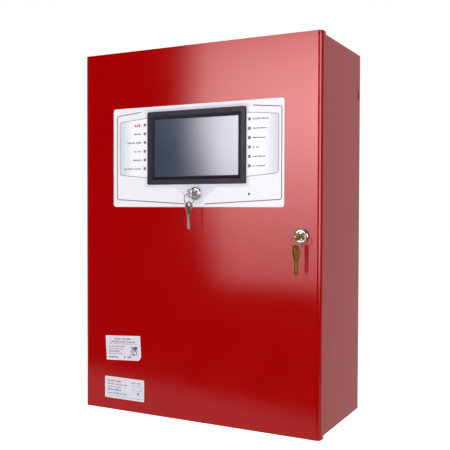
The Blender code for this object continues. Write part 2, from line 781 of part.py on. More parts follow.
def field_terminal_strip(m):
    y = CHASSIS_Y - 0.6 - GAP
    profile = [(y, 222), (y, 250), (y - 12, 250), (y - 20, 243), (y - 20, 229), (y - 12, 222)]
    make("field_terminal_strip", prism(profile, "X", -172, 168), m["terminal_green"], (0, y, 236))


def power_supply(m):
    base = CHASSIS_Y - 0.6 - GAP - 0.6
    path = [(-20, base - 39), (-20, base), (168, base), (168, base - 39)]
    tray = make("power_supply_tray", prism(bent_strip(path, 1.2), "Z", -98, 10), m["zinc_steel"], (74, base, -44))
    cut(tray, prism(circle((-36, -30), 5, 12), "X", -25, 175))
    parts = [
        (20, -40, 44, 40, 26.0),
        (70, -64, 22, 22, 24.0),
        (70, -26, 16, 16, 22.0),
        (110, -44, 8, 76, 26.0),
        (134, -62, 14, 30, 14.0),
        (50, -84, 30, 8, 8.0),
        (142, -8, 20, 8, 9.0),
    ]
    populated_board("power_supply_board", m, (-12, -92), (160, 4), base - 6.5, -1, 4.5, parts)
    path = [(base, -99.8), (base - 40.2, -99.8), (base - 40.2, 11.8), (base, 11.8)]
    shell = prism(bent_strip(path, 1.0), "X", -20.6, 168.6)
    cover = make("power_supply_cover", shell, m["zinc_steel"], (74, base - 40, -44))
    slots = []
    for row in (-72, -16):
        for i in range(10):
            x = 2 + i * 16
            slots.append(box((x - 2, base - 45, row - 18), (x + 2, base - 35, row + 18)))
    cut(cover, together(slots))


def mains_input(m):
    y = CHASSIS_Y - 0.6 - GAP
    block = box((-172, y - 20, -96), (-130, y, -68))
    obj = make("mains_terminal_block", block, m["white_label"], (-151, y, -82))
    cut(obj, together([box((x - 4.5, y - 30, -100), (x + 4.5, y - 12, -90)) for x in (-163, -151, -139)]))
    holder = box((-120, y - 12, -92), (-104, y, -72))
    fuse = make("mains_fuse_holder", holder, m["black_plastic"], (-112, y, -82))
    cap = turned([(0, y - 11), (6.0, y - 11), (6.0, y - 20), (5.0, y - 21), (0, y - 21)], (-112, 0, -82), "Y", 14)
    add(fuse, cap)


def battery(name, left, m):
    w, d, h = BATTERY
    bottom = -INNER_TOP + GAP
    case = box((left, -SHEET - GAP - d, bottom), (left + w, -SHEET - GAP, bottom + h))
    bevel(case, lambda a, b: abs(a.z - b.z) > 1, 3.0, 2)
    obj = make(name, case, m["battery_case"], (left + w / 2, -d / 2, bottom))
    tabs = []
    for x in (left + 20, left + w - 20):
        tabs.append(box((x - 7, -47, bottom + h - 1), (x + 7, -33, bottom + h + 3)))
    add(obj, together(tabs))
    blades = []
    for x in (left + 20, left + w - 20):
        blades.append(box((x - 3.2, -40.4, bottom + h + 2), (x + 3.2, -39.6, bottom + h + 9)))
    return add(obj, together(blades))


def battery_bracket(m):
    """A strap across both batteries, with its ends folded back to the cabinet."""
    reach = BATTERY[0] + BATTERY_GAP / 2 + 2.0
    front = -SHEET - GAP - BATTERY[1] - GAP - 0.75
    back = -SHEET - GAP - 0.75
    path = [(-reach - 12, back), (-reach, back), (-reach, front), (reach, front), (reach, back), (reach + 12, back)]
    make("battery_bracket", prism(bent_strip(path, 1.5), "Z", -210, -185), m["zinc_steel"], (0, front, -197))


def leads(m):
    top = -INNER_TOP + GAP + BATTERY[2] + 9.6
    outer = BATTERY[0] + BATTERY_GAP / 2 - 20
    inner = BATTERY_GAP / 2 + 20
    link = [(-inner, -40, top), (-inner, -40, top + 5), (-inner + 12, -41, top + 10), (inner - 12, -41, top + 10)]
    wire("battery_link_lead", link + [(inner, -40, top + 5), (inner, -40, top)], 1.7, m["wire_black"])
    red = [(outer, -40, top), (outer + 2, -42, top + 7), (outer + 14, -46, top + 24), (outer + 19, -46, top + 50)]
    red += [(outer + 18, -42, -42), (outer + 13, -37, -32), (outer + 2, -36, -30), (145, -36, -30)]
    wire("battery_lead_red", red, 1.7, m["wire_red"])
    black = [(-outer, -40, top), (-outer + 2, -44, top + 8), (-outer + 30, -50, top + 17), (-92, -52, -94)]
    black += [(-60, -50, -74), (-42, -42, -46), (-30, -36.5, -32), (-16, -36, -30), (-8, -36, -30)]
    wire("battery_lead_black", black, 1.7, m["wire_black"])


def stud(name, x, z, start, end, m, parent=None):
    """An earth stud along Y with a flange, a nut and a bare end."""
    out = 1 if end > start else -1
    profile = [(0, start), (5.5, start), (5.5, start + out * 1.5), (3.0, start + out * 1.5)]
    profile += [(3.0, start + out * 8), (5.8, start + out * 8), (5.8, start + out * 12), (3.0, start + out * 12)]
    profile += [(3.0, end), (0, end)]
    make(name, turned(profile, (x, 0, z), "Y", 12), m["brass"], (x, start, z), parent)


def grommet(name, x, m):
    low, high = BOX_TOP - SHEET, BOX_TOP
    profile = [
        (5.0, low - 3),
        (13.0, low - 3),
        (13.0, low - GAP),
        (KNOCKOUT_R - 0.5, low - GAP),
        (KNOCKOUT_R - 0.5, high + GAP),
        (13.0, high + GAP),
        (12.0, high + 2.3),
        (5.0, high + 2.3),
    ]
    make(name, turned(profile, (x, KNOCKOUT_Y, 0), "Z", 16), m["rubber"], (x, KNOCKOUT_Y, high))


def display_cable(m):
    """Flat cable from the screen's board, past the hinge, to the main board."""
    path = [(-72.0, 17.5), (-118, 17.5), (-160, 19), (-183, 26), (-195, 42), (-198, 70)]
    path += [(-198, 110), (-195, 140), (-187, 158), (-178, 165.5), (-171.8, 166.5)]
    path = smooth_route([(x, FRONT + d) for x, d in path], 3)
    make("display_cable", prism(bent_strip(path, 1.0), "Z", 120, 146), m["ribbon_grey"])


def earth_bond(m):
    """Bonding lead between the door's stud and the cabinet's stud."""
    route = [(-176, 12, -67.5), (-176.5, 13, -76), (-180, 20, -92), (-188, 40, -106), (-193, 75, -112)]
    route += [(-194, 115, -106), (-194, 150, -94), (-194.5, 172, -80), (-195, 183, -67.5)]
    wire("door_earth_lead", [(x, FRONT + d, z) for x, d, z in route], 1.6, m["wire_earth"])


def stickers(m, door):
    tilt = Matrix.Rotation(-math.radians(3.4), 3, "Y")
    centre = Vector((-135, FRONT, -194))
    corners = [(-35, -20.5), (30, -20.5), (35, -14), (35, 20.5), (-35, 20.5)]
    sheet = prism(corners, "Y", -0.55, -GAP)
    bmesh.ops.transform(sheet, verts=sheet.verts, matrix=Matrix.Translation(centre) @ tilt.to_4x4())
    make("upper_label", sheet, m["white_label"], tuple(centre), door)
    lower = centred_box((-132.5, -262.4), (79, 36), FRONT - 1.3, FRONT - GAP)
    make("lower_label", lower, m["white_label"], (-132.5, FRONT, -262.4), door)


def build():
    for obj in list(bpy.data.objects):
        bpy.data.objects.remove(obj, do_unlink=True)
    m = make_materials()
    door = axis_empty("door_axis", (HINGE_X, HINGE_Y, 0))

    back_box(m)
    door_panel(m, door)
    hinge(m, door)
    door_bumper("door_bumper_upper", m, door, BUMPER_Z)
    door_bumper("door_bumper_lower", m, door, -BUMPER_Z)

    faceplate_overlay(m, door)
    display_bezel(m, door)
    touch_panel(m, door)
    lcd_module(m, door)
    display_bracket(m, door)
    display_board(m, door)
    lamp_group("left", LED_X[0], m, door)
    lamp_group("right", LED_X[1], m, door)
    sounder(m, door)
    stickers(m, door)

    seat = FRONT - GAP - FACE_THICK
    axis, face = lock_group("access", ACCESS_LOCK, seat, ACCESS_HEAD_R, m, door, True)
    hole = inserted_key("access", ACCESS_LOCK, face, m["nickel"], axis)
    hang = key_ring("access", hole, m, axis)
    spare_key("access_spare_key", hole, 0.0, m["nickel"], hang)

    axis, face = lock_group("door", DOOR_LOCK, FRONT, DOOR_HEAD_R, m, door, False)
    door_cam(m, axis)
    hole = inserted_key("door", DOOR_LOCK, face, m["brass"], axis)
    hang = key_ring("door", hole, m, axis)
    spare_key("door_spare_key_left", hole, -SPARE_ANGLE, m["brass"], hang)
    spare_key("door_spare_key_right", hole, SPARE_ANGLE, m["brass"], hang)

    chassis_plate(m)
    main_board(m)
    loop_card("loop_card_left", 58, m)
    loop_card("loop_card_right", 118, m)
    field_terminal_strip(m)
    power_supply(m)
    mains_input(m)
    battery("battery_left", -BATTERY[0] - BATTERY_GAP / 2, m)
    battery("battery_right", BATTERY_GAP / 2, m)
    battery_bracket(m)
    leads(m)
    stud("cabinet_earth_stud", -195, -60, -SHEET - GAP, -24, m)
    stud("door_earth_stud", -176, -60, FRONT + SHEET + GAP, FRONT + 17, m, door)
    grommet("mains_cable_grommet", knockout_x(0), m)
    grommet("loop_cable_grommet", knockout_x(1), m)
    display_cable(m)
    earth_bond(m)


build()
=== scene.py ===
"""Looks of the wall-mounted fire alarm control panel: studio, materials and finely modelled pieces."""

import json
import math
import random

import bmesh
import bpy
from mathutils import Matrix, Vector


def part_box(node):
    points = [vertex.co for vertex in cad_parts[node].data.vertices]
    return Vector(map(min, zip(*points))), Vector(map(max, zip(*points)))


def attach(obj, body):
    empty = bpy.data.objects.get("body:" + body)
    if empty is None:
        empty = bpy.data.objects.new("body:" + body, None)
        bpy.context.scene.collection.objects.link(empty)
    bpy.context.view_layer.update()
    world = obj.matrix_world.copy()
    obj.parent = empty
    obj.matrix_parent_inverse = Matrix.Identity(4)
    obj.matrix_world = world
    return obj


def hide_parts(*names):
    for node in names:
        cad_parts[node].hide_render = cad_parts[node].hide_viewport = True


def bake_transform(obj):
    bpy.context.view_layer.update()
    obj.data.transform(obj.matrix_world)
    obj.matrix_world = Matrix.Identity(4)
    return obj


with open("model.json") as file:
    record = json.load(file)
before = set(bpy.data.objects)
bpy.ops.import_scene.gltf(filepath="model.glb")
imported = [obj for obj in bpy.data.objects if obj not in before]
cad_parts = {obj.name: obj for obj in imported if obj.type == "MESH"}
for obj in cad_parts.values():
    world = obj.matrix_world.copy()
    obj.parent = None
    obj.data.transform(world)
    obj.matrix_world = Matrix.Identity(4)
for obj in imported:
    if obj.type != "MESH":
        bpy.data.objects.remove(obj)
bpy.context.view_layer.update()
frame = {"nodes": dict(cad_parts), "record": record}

MM = 0.001
FLOOR = -0.62  # height of the studio floor, well below the hanging panel


# Camera, solved from the enclosure's edges in the photo

CAMERA_ANGLES = (27.386, 1.276, 0.182)  # azimuth, elevation and roll, in degrees
CAMERA_PLACE = (0.576, -1.1979, 0.0402)
LENS = 58.2


def make_camera():
    azimuth, elevation, roll = map(math.radians, CAMERA_ANGLES)
    reach = math.cos(elevation)
    back = Vector((math.sin(azimuth) * reach, -math.cos(azimuth) * reach, math.sin(elevation)))
    right = Vector((0, 0, 1)).cross(back).normalized()
    up = back.cross(right)
    tilted_right = right * math.cos(roll) + up * math.sin(roll)
    tilted_up = up * math.cos(roll) - right * math.sin(roll)
    data = bpy.data.cameras.new("camera")
    data.sensor_width = 36.0
    data.lens = LENS
    data.clip_start = 0.01
    camera = bpy.data.objects.new("camera", data)
    rotation = Matrix((tilted_right, tilted_up, back)).transposed()
    camera.matrix_world = Matrix.Translation(CAMERA_PLACE) @ rotation.to_4x4()
    bpy.context.scene.collection.objects.link(camera)
    bpy.context.scene.camera = camera


# Node helpers


class Nodes:
    """A small wrapper round a node tree: each call adds a node, sets its inputs and returns it."""

    def __init__(self, tree):
        self.tree = tree

    def add(self, kind, settings=None, **inputs):
        node = self.tree.nodes.new(kind)
        for key, value in (settings or {}).items():
            setattr(node, key, value)
        for key, value in inputs.items():
            self.feed(node, key.replace("_", " "), value)
        return node

    def feed(self, node, key, value):
        socket = node.inputs[int(key[1:])] if key[0] == "i" and key[1:].isdigit() else node.inputs[key]
        if isinstance(value, bpy.types.NodeSocket):
            self.tree.links.new(value, socket)
        else:
            socket.default_value = value

    def math(self, operation, *values, clamp=False):
        node = self.add("ShaderNodeMath", {"operation": operation, "use_clamp": clamp})
        for i, value in enumerate(values):
            self.feed(node, f"i{i}", value)
        return node.outputs[0]

    def smooth(self, value, start, end, low=0.0, high=1.0):
        """Runs from low to high as value goes from start to end."""
        node = self.add("ShaderNodeMapRange", {"interpolation_type": "SMOOTHSTEP"})
        for key, given in (("i0", value), ("i1", start), ("i2", end), ("i3", low), ("i4", high)):
            self.feed(node, key, given)
        return node.outputs[0]

    def mix(self, factor, first, second, kind="MIX"):
        node = self.add("ShaderNodeMix", {"data_type": "RGBA", "blend_type": kind})
        self.feed(node, "i0", factor)
        self.feed(node, "i6", first)
        self.feed(node, "i7", second)
        return node.outputs[2]


# Studio


def make_world():
    """White for the camera; for reflections and fill, pale behind the panel and dim in front of it."""
    world = bpy.data.worlds.new("studio")
    world.use_nodes = True
    tree = world.node_tree
    tree.nodes.clear()
    n = Nodes(tree)
    direction = n.add("ShaderNodeTexCoord").outputs["Generated"]
    parts = n.add("ShaderNodeSeparateXYZ", Vector=direction)
    bands = (("Y", 0.72, 0.9, 0.51), ("X", -0.75, -0.95, 0.5), ("Z", 0.6, 0.95, 0.5))
    behind, left, above = [n.smooth(parts.outputs[axis], *span, 0.0, most) for axis, *span, most in bands]
    glow = n.math("ADD", n.math("ADD", behind, left), n.math("ADD", above, 0.002))
    fill = n.add("ShaderNodeBackground", Color=(1.0, 0.985, 1.0, 1.0), Strength=glow)
    white = n.add("ShaderNodeBackground", Color=(1, 1, 1, 1), Strength=1.0)
    seen = n.add("ShaderNodeLightPath").outputs["Is Camera Ray"]
    mixed = n.add("ShaderNodeMixShader", i0=seen, i1=fill.outputs[0], i2=white.outputs[0])
    tree.links.new(mixed.outputs[0], n.add("ShaderNodeOutputWorld").inputs["Surface"])
    bpy.context.scene.world = world


def fill_light(name, place, target, size, radiance):
    """A soft light that brightens surfaces without being mirrored in them."""
    light = bpy.data.lights.new(name, "AREA")
    light.shape = "RECTANGLE"
    light.size, light.size_y = size
    light.energy = radiance * size[0] * size[1] * math.pi
    obj = bpy.data.objects.new(name, light)
    obj.location = place
    obj.rotation_euler = (Vector(target) - Vector(place)).to_track_quat("-Z", "Y").to_euler()
    obj.visible_glossy = False
    bpy.context.scene.collection.objects.link(obj)


def sheet(name, outline):
    """A flat face with a material of its own."""
    mesh = bpy.data.meshes.new(name)
    mesh.from_pydata(outline, [], [tuple(range(len(outline)))])
    obj = bpy.data.objects.new(name, mesh)
    made = bpy.data.materials.new(name)
    made.use_nodes = True
    mesh.materials.append(made)
    bpy.context.scene.collection.objects.link(obj)
    return obj, made


def card(name, outline, strength, colour=(1.0, 1.0, 1.0)):
    """A glowing sheet seen only in reflections; strength(n, x, y, z) gives its brightness at each place."""
    obj, made = sheet(name, outline)
    tree = made.node_tree
    tree.nodes.clear()
    n = Nodes(tree)
    where = n.add("ShaderNodeSeparateXYZ", Vector=n.add("ShaderNodeTexCoord").outputs["Object"])
    glow = n.add("ShaderNodeEmission", Color=(*colour, 1.0), Strength=strength(n, *where.outputs))
    tree.links.new(glow.outputs[0], n.add("ShaderNodeOutputMaterial").inputs["Surface"])
    obj.visible_camera = obj.visible_diffuse = obj.visible_shadow = False
    obj.visible_transmission = obj.visible_volume_scatter = False


def softbox_top(n, z):
    return n.smooth(z, 0.83, 0.94, 1.0, 0.04)


def left_softbox_glow(n, x, y, z):
    """Brightest half-way up, with a soft slanted left edge and soft lower and upper edges."""
    up = n.math("POWER", n.math("DIVIDE", n.math("SUBTRACT", z, 0.5), 0.5), 2.0)
    along = n.math("POWER", n.math("DIVIDE", n.math("ADD", x, 0.4), 1.1), 2.0)
    glow = n.math("DIVIDE", 8.2, n.math("ADD", n.math("ADD", up, along), 1.0))
    slant = n.math("MULTIPLY", n.math("MAXIMUM", n.math("SUBTRACT", 0.45, z), 0.0), 0.2)
    past = n.math("SUBTRACT", x, slant)
    for edge in (n.smooth(past, -1.32, -1.1), n.smooth(z, -0.37, -0.26), softbox_top(n, z)):
        glow = n.math("MULTIPLY", glow, edge)
    return glow


def right_softbox_glow(n, x, y, z):
    return n.math("MULTIPLY", n.smooth(z, -0.4, -0.1, 0.0, 5.0), softbox_top(n, z))


def no_glow(n, x, y, z):
    return 0.0


def side_bounce_glow(n, x, y, z):
    return n.smooth(y, -0.25, 0.0, 0.0, 0.36)


def floor_glow(n, x, y, z):
    """Pale up to a soft front edge that runs slightly askew."""
    ahead = n.math("SUBTRACT", y, n.math("MULTIPLY", x, 0.227))
    return n.smooth(ahead, -1.38, -1.22, 0.0, 0.5)


def upright(x0, y0, x1, y1, low, high):
    return [(x0, y0, low), (x1, y1, low), (x1, y1, high), (x0, y0, high)]


def flat(x0, y0, x1, y1, z):
    return [(x0, y0, z), (x1, y0, z), (x1, y1, z), (x0, y1, z)]


def make_floor():
    """A pale floor that is clear from below."""
    obj, made = sheet("floor", flat(-40, -40, 40, 40, FLOOR))
    n = Nodes(made.node_tree)
    shader = made.node_tree.nodes["Principled BSDF"]
    looks = {"Base Color": (0.9, 0.9, 0.9, 1), "Roughness": 0.9}
    looks.update({"Emission Color": (1, 1, 1, 1), "Emission Strength": 0.8})
    for key, value in looks.items():
        shader.inputs[key].default_value = value
    from_below = n.add("ShaderNodeNewGeometry").outputs["Backfacing"]
    clear = n.add("ShaderNodeBsdfTransparent")
    mixed = n.add("ShaderNodeMixShader", i0=from_below, i1=shader.outputs[0], i2=clear.outputs[0])
    n.feed(made.node_tree.nodes["Material Output"], "Surface", mixed.outputs[0])
    obj.visible_glossy = False


def make_studio():
    make_world()
    make_floor()
    card("left_softbox", upright(-1.5, -2.3, -0.34, -2.3, -0.6, 1.7), left_softbox_glow, (1.05, 0.91, 0.91))
    card("right_softbox", upright(1.25, -2.1, 2.15, -0.95, -0.6, 1.6), right_softbox_glow)
    # a black flag that keeps the softboxes out of the top wall when it is seen from behind
    card("top_flag", upright(-0.6, -0.215, 0.6, -0.215, 0.306, 0.38), no_glow)
    card("side_bounce", upright(1.3, -0.25, 1.3, 0.9, -0.5, 0.7), side_bounce_glow, (1.0, 0.56, 0.4))
    card("floor_shine", flat(-4, -2.4, 4, 4, FLOOR + 0.002), floor_glow)
    fill_light("key", (-0.75, -2.3, 0.7), (0, -0.2, 0), (0.9, 1.9), 3.95)
    fill_light("side", (1.7, -1.5, 0.5), (0.2, -0.2, 0), (1.4, 1.4), 1.7)
    fill_light("back", (-1.2, 1.8, 1.0), (0, 0, 0), (1.6, 1.6), 1.6)
    view = bpy.context.scene.view_settings
    view.view_transform = "Standard"
    view.look = "None"


# Materials


def material(
    name, colour, roughness, metallic=0.0, grain=600.0, bump=0.02, mottle=0.06, patches=18.0, **more
):
    """A Principled finish with fine grain in its height, and soft patches in its colour and roughness."""
    made = bpy.data.materials.new(name)
    made.use_nodes = True
    tree = made.node_tree
    n = Nodes(tree)
    shader = tree.nodes["Principled BSDF"]
    where = n.add("ShaderNodeTexCoord").outputs["Object"]
    broad = n.add("ShaderNodeTexNoise", Vector=where, Scale=patches, Detail=3.0).outputs["Fac"]
    fine = n.add("ShaderNodeTexNoise", Vector=where, Scale=grain, Detail=2.0).outputs["Fac"]
    dark = tuple(c * (1 - mottle) for c in colour) + (1.0,)
    light = tuple(min(1.0, c * (1 + mottle)) for c in colour) + (1.0,)
    n.feed(shader, "Base Color", n.mix(n.smooth(broad, 0.3, 0.7), dark, light))
    n.feed(shader, "Roughness", n.smooth(broad, 0.25, 0.75, roughness * 0.88, roughness * 1.12))
    height = n.add("ShaderNodeBump", Height=fine, Strength=bump, Distance=0.001)
    n.feed(shader, "Normal", height.outputs["Normal"])
    shader.inputs["Metallic"].default_value = metallic
    for key, value in more.items():
        shader.inputs[key.replace("_", " ")].default_value = value
    return made


def field_finish(name, inner_x, outer_x):
    """Printed field: pale near the bezel, blue-grey towards its outer edge, with faint level stripes."""
    made = material(name, (0.86, 0.86, 0.9), 0.35, mottle=0.01)
    tree = made.node_tree
    n = Nodes(tree)
    where = n.add("ShaderNodeSeparateXYZ", Vector=n.add("ShaderNodeTexCoord").outputs["Object"])
    across = n.smooth(where.outputs["X"], inner_x * MM, outer_x * MM)
    colour = n.mix(across, (0.82, 0.83, 0.88, 1), (0.55, 0.58, 0.64, 1))
    wave = n.math("SINE", n.math("MULTIPLY", where.outputs["Z"], 2 * math.pi / (3.2 * MM)))
    colour = n.mix(n.smooth(wave, 0.2, 0.8, 0.0, 0.16), colour, (0.95, 0.95, 0.97, 1))
    n.feed(tree.nodes["Principled BSDF"], "Base Color", colour)
    return made


def board_finish(name, mask, trace):
    """Solder mask over copper: square-cut traces show as slightly paler, raised lines."""
    made = material(name, mask, 0.3, mottle=0.1)
    tree = made.node_tree
    n = Nodes(tree)
    shader = tree.nodes["Principled BSDF"]
    where = n.add("ShaderNodeSeparateXYZ", Vector=n.add("ShaderNodeTexCoord").outputs["Object"])
    flat = n.add("ShaderNodeCombineXYZ", X=where.outputs["X"], Y=where.outputs["Z"])
    bricks = n.add(
        "ShaderNodeTexBrick",
        {"offset": 0.37, "squash": 1.6, "squash_frequency": 3},
        Vector=flat.outputs[0], Scale=95.0, Mortar_Size=0.06, Brick_Width=0.9, Row_Height=0.31,
    )
    lines = bricks.outputs["Fac"]
    n.feed(shader, "Base Color", n.mix(lines, (*mask, 1), (*trace, 1)))
    height = n.add("ShaderNodeBump", Height=lines, Strength=0.3, Distance=0.0002)
    n.feed(shader, "Normal", height.outputs["Normal"])
    return made


PAINTS = {
    "red_paint": ((0.352, 0.0003, 0.0006), 0.088, dict(grain=900, bump=0.018, mottle=0.02,
                  Specular_IOR_Level=0.7, Specular_Tint=(1.0, 0.72, 0.72, 1.0))),
    "white_label": ((0.78, 0.77, 0.81), 0.35, dict(mottle=0.01)),
    "black_plastic": ((0.01, 0.008, 0.016), 0.4, dict(grain=2500, bump=0.05, Specular_IOR_Level=0.35)),
    "screen_glass": ((0.038, 0.05, 0.088), 0.12, dict(bump=0.0, mottle=0.02,
                     IOR=2.2, Specular_Tint=(0.86, 0.95, 1.0, 1.0))),
    "grey_lens": ((0.2, 0.19, 0.22), 0.2, {}),
    "terminal_green": ((0.03, 0.28, 0.12), 0.4, dict(patches=60.0)),
    "battery_case": ((0.045, 0.045, 0.052), 0.5, dict(grain=1500, bump=0.1)),
    "rubber": ((0.02, 0.02, 0.02), 0.7, dict(grain=1500, bump=0.1)),
    "wire_red": ((0.5, 0.02, 0.02), 0.4, dict(patches=80.0)),
    "wire_black": ((0.02, 0.02, 0.02), 0.4, dict(patches=80.0)),
    "wire_earth": ((0.2, 0.45, 0.05), 0.4, {}),
    "ribbon_grey": ((0.4, 0.41, 0.43), 0.5, dict(patches=80.0)),
}
METALS = {
    "zinc_steel": ((0.6, 0.6, 0.58), 0.35, dict(mottle=0.16, patches=90.0)),
    "chrome": ((0.58, 0.58, 0.6), 0.12, dict(mottle=0.03)),
    "nickel": ((0.6, 0.56, 0.53), 0.15, dict(patches=120.0)),
    "brass": ((0.62, 0.37, 0.12), 0.26, dict(mottle=0.14, patches=120.0)),
    "ring_steel": ((0.24, 0.22, 0.22), 0.22, dict(patches=90.0)),
    "brass_stud": ((0.5, 0.32, 0.12), 0.3, dict(patches=150.0)),
    "bare_tin": ((0.7, 0.7, 0.7), 0.28, dict(patches=200.0)),
    "contact_gold": ((0.75, 0.5, 0.16), 0.25, dict(patches=200.0)),
    "aluminium": ((0.65, 0.66, 0.67), 0.4, dict(patches=100.0)),
}
INKS = {
    "ink_lavender": (0.68, 0.66, 0.76),
    "ink_purple": (0.12, 0.04, 0.16),
    "ink_outline": (0.2, 0.24, 0.24),
    "ink_dark": (0.05, 0.045, 0.06),
    "ink_grey": (0.24, 0.23, 0.27),
    "ink_blue": (0.16, 0.2, 0.36),
    "ink_teal": (0.05, 0.28, 0.24),
    "ink_red": (0.6, 0.02, 0.03),
    "label_paper": (0.66, 0.63, 0.72),
}
PLASTICS = {
    "chip_black": (0.02, 0.02, 0.022),
    "nylon_white": (0.75, 0.73, 0.66),
    "relay_blue": (0.03, 0.09, 0.3),
    "sleeve_dark": (0.03, 0.035, 0.06),
    "tape_yellow": (0.6, 0.38, 0.04),
    "ferrite": (0.06, 0.06, 0.065),
    "cap_red": (0.45, 0.03, 0.03),
}


def make_materials():
    made = {}
    for metallic, finishes in ((0.0, PAINTS), (1.0, METALS)):
        for name, (colour, roughness, more) in finishes.items():
            made[name] = material(name, colour, roughness, metallic, **more)
    for name, colour in INKS.items():
        made[name] = material(name, colour, 0.42, bump=0.0, mottle=0.03, patches=200.0)
    for name, colour in PLASTICS.items():
        made[name] = material(name, colour, 0.4, grain=1800, bump=0.04, patches=90.0)
    made["circuit_board"] = board_finish("circuit_board", (0.012, 0.09, 0.04), (0.03, 0.2, 0.08))
    made["field_left"] = field_finish("field_left", -112, -141)
    made["field_right"] = field_finish("field_right", 118, 147)
    return made


FINISH = make_materials()


# Shapes in bmesh, in millimetres


def box(low, high, radius=0.0, segments=2):
    bm = bmesh.new()
    bmesh.ops.create_cube(bm, size=1.0)
    size = [h - l for l, h in zip(low, high)]
    centre = [(h + l) / 2 for l, h in zip(low, high)]
    bmesh.ops.transform(bm, verts=bm.verts, matrix=Matrix.LocRotScale(centre, None, size))
    return rounded(bm, radius, segments) if radius else bm


def rounded(bm, radius, segments=2, chosen=None):
    """Rounds every edge, or those for which chosen(start, end) is true."""
    edges = [e for e in bm.edges if chosen is None or chosen(e.verts[0].co, e.verts[1].co)]
    return bevelled(bm, edges, radius, segments)


def sharp_edges_rounded(bm, radius, segments=2, angle=35):
    """Rounds the edges where faces meet at more than the given angle."""
    bmesh.ops.recalc_face_normals(bm, faces=bm.faces)
    limit = math.radians(angle)
    edges = [e for e in bm.edges if len(e.link_faces) == 2 and e.calc_face_angle(0) > limit]
    return bevelled(bm, edges, radius, segments)


def bevelled(bm, edges, radius, segments):
    how = {"profile": 0.5, "affect": "EDGES", "clamp_overlap": True}
    bmesh.ops.bevel(bm, geom=edges, offset=radius, segments=segments, **how)
    bmesh.ops.remove_doubles(bm, verts=bm.verts, dist=0.001)
    return bm


def prism(outline, axis, start, end):
    """Extrudes a closed outline along X, Y or Z; the outline's pairs fill the other two axes in order."""
    bm = bmesh.new()
    loops = []
    for along in (start, end):
        loop = []
        for a, b in outline:
            place = [a, b]
            place.insert("XYZ".index(axis), along)
            loop.append(bm.verts.new(place))
        loops.append(loop)
    bridge(bm, loops)
    return bm


def bridge(bm, loops, closed=False):
    """Faces between neighbouring loops of equal length, and a cap at each end unless closed."""
    pairs = list(zip(loops, loops[1:])) + ([(loops[-1], loops[0])] if closed else [])
    for near, far in pairs:
        count = len(near)
        for i in range(count):
            j = (i + 1) % count
            bm.faces.new((near[i], near[j], far[j], far[i]))
    if not closed:
        bm.faces.new(loops[0])
        bm.faces.new(loops[-1])


def arc(centre, radius, start, end, segments):
    """Points on an arc, with angles in degrees."""
    steps = [math.radians(start + (end - start) * i / segments) for i in range(segments + 1)]
    return [(centre[0] + radius * math.cos(a), centre[1] + radius * math.sin(a)) for a in steps]


def circle(centre, radius, sides=32):
    return arc(centre, radius, 0, 360, sides)[:-1]


def spread(centre, count, pitch):
    """Places of a row of things, evenly spaced about its centre."""
    return [centre + (i - (count - 1) / 2) * pitch for i in range(count)]


def rounded_rectangle(centre, size, radius, segments=6):
    points = []
    for turn, (sx, sy) in enumerate(((1, 1), (-1, 1), (-1, -1), (1, -1))):
        corner = (centre[0] + sx * (size[0] / 2 - radius), centre[1] + sy * (size[1] / 2 - radius))
        points += arc(corner, radius, 90 * turn, 90 * turn + 90, segments)
    return points


def filleted(points, radius, segments=5, closed=False):
    """The same path with its corners rounded."""
    places = [Vector(p) for p in points]
    count = len(places)
    made = []
    for i, here in enumerate(places):
        if not closed and i in (0, count - 1):
            made.append(tuple(here))
            continue
        before, after = places[i - 1], places[(i + 1) % count]
        reach = min(radius, (before - here).length / 2, (after - here).length / 2)
        start = here + (before - here).normalized() * reach
        end = here + (after - here).normalized() * reach
        for k in range(segments + 1):
            t = k / segments
            made.append(tuple(start * (1 - t) ** 2 + here * 2 * t * (1 - t) + end * t**2))
    return made


def strip(points, width):
    """Outline of a band of even width along the points, with mitred corners."""
    sides = ([], [])
    for i, here in enumerate(points):
        here = Vector(here)
        before = (here - Vector(points[i - 1])).normalized() if i else None
        after = (Vector(points[i + 1]) - here).normalized() if i + 1 < len(points) else None
        first = before or after
        last = after or before
        normal = Vector((-(first.y + last.y), first.x + last.x)).normalized()
        reach = width / 2 / normal.dot(Vector((-first.y, first.x)))
        sides[0].append(tuple(here + normal * reach))
        sides[1].append(tuple(here - normal * reach))
    return sides[0] + sides[1][::-1]


def folded(path, radius, segments, thickness, axis, low, high):
    """A plate of even thickness, bent along a path in the plane across the axis."""
    start, end = getattr(low, axis.lower()), getattr(high, axis.lower())
    return prism(strip(filleted(path, radius, segments), thickness), axis, start, end)


def turned(profile, centre, axis, sides=32):
    """Turns a closed profile of (radius, distance along the axis) pairs round an X, Y or Z axis."""
    bm = bmesh.new()
    index = "XYZ".index(axis)
    across = [i for i in range(3) if i != index]
    loops = []
    for radius, along in profile:
        loop = []
        for i in range(sides if radius > 0 else 1):
            angle = 2 * math.pi * i / sides
            place = list(centre)
            place[index] = along
            place[across[0]] += radius * math.cos(angle)
            place[across[1]] += radius * math.sin(angle)
            loop.append(bm.verts.new(place))
        loops.append(loop)
    solid = profile[0][0] == 0
    for k in range(len(loops) - (1 if solid else 0)):
        near, far = loops[k], loops[(k + 1) % len(loops)]
        for i in range(sides):
            j = (i + 1) % sides
            ring = [near[i % len(near)], near[j % len(near)], far[j % len(far)], far[i % len(far)]]
            bm.faces.new(list(dict.fromkeys(ring)))
    return bm


def smooth_route(route, steps=6):
    """Catmull-Rom points through a route of places."""
    places = [Vector(p) for p in route]
    places = [places[0] * 2 - places[1]] + places + [places[-1] * 2 - places[-2]]
    points = []
    for a, b, c, d in zip(places, places[1:], places[2:], places[3:]):
        for i in range(steps):
            t = i / steps
            eased = b * 2 + (c - a) * t + (a * 2 - b * 5 + c * 4 - d) * t**2
            points.append((eased + (b * 3 - a - c * 3 + d) * t**3) / 2)
    points.append(places[-2])
    return points


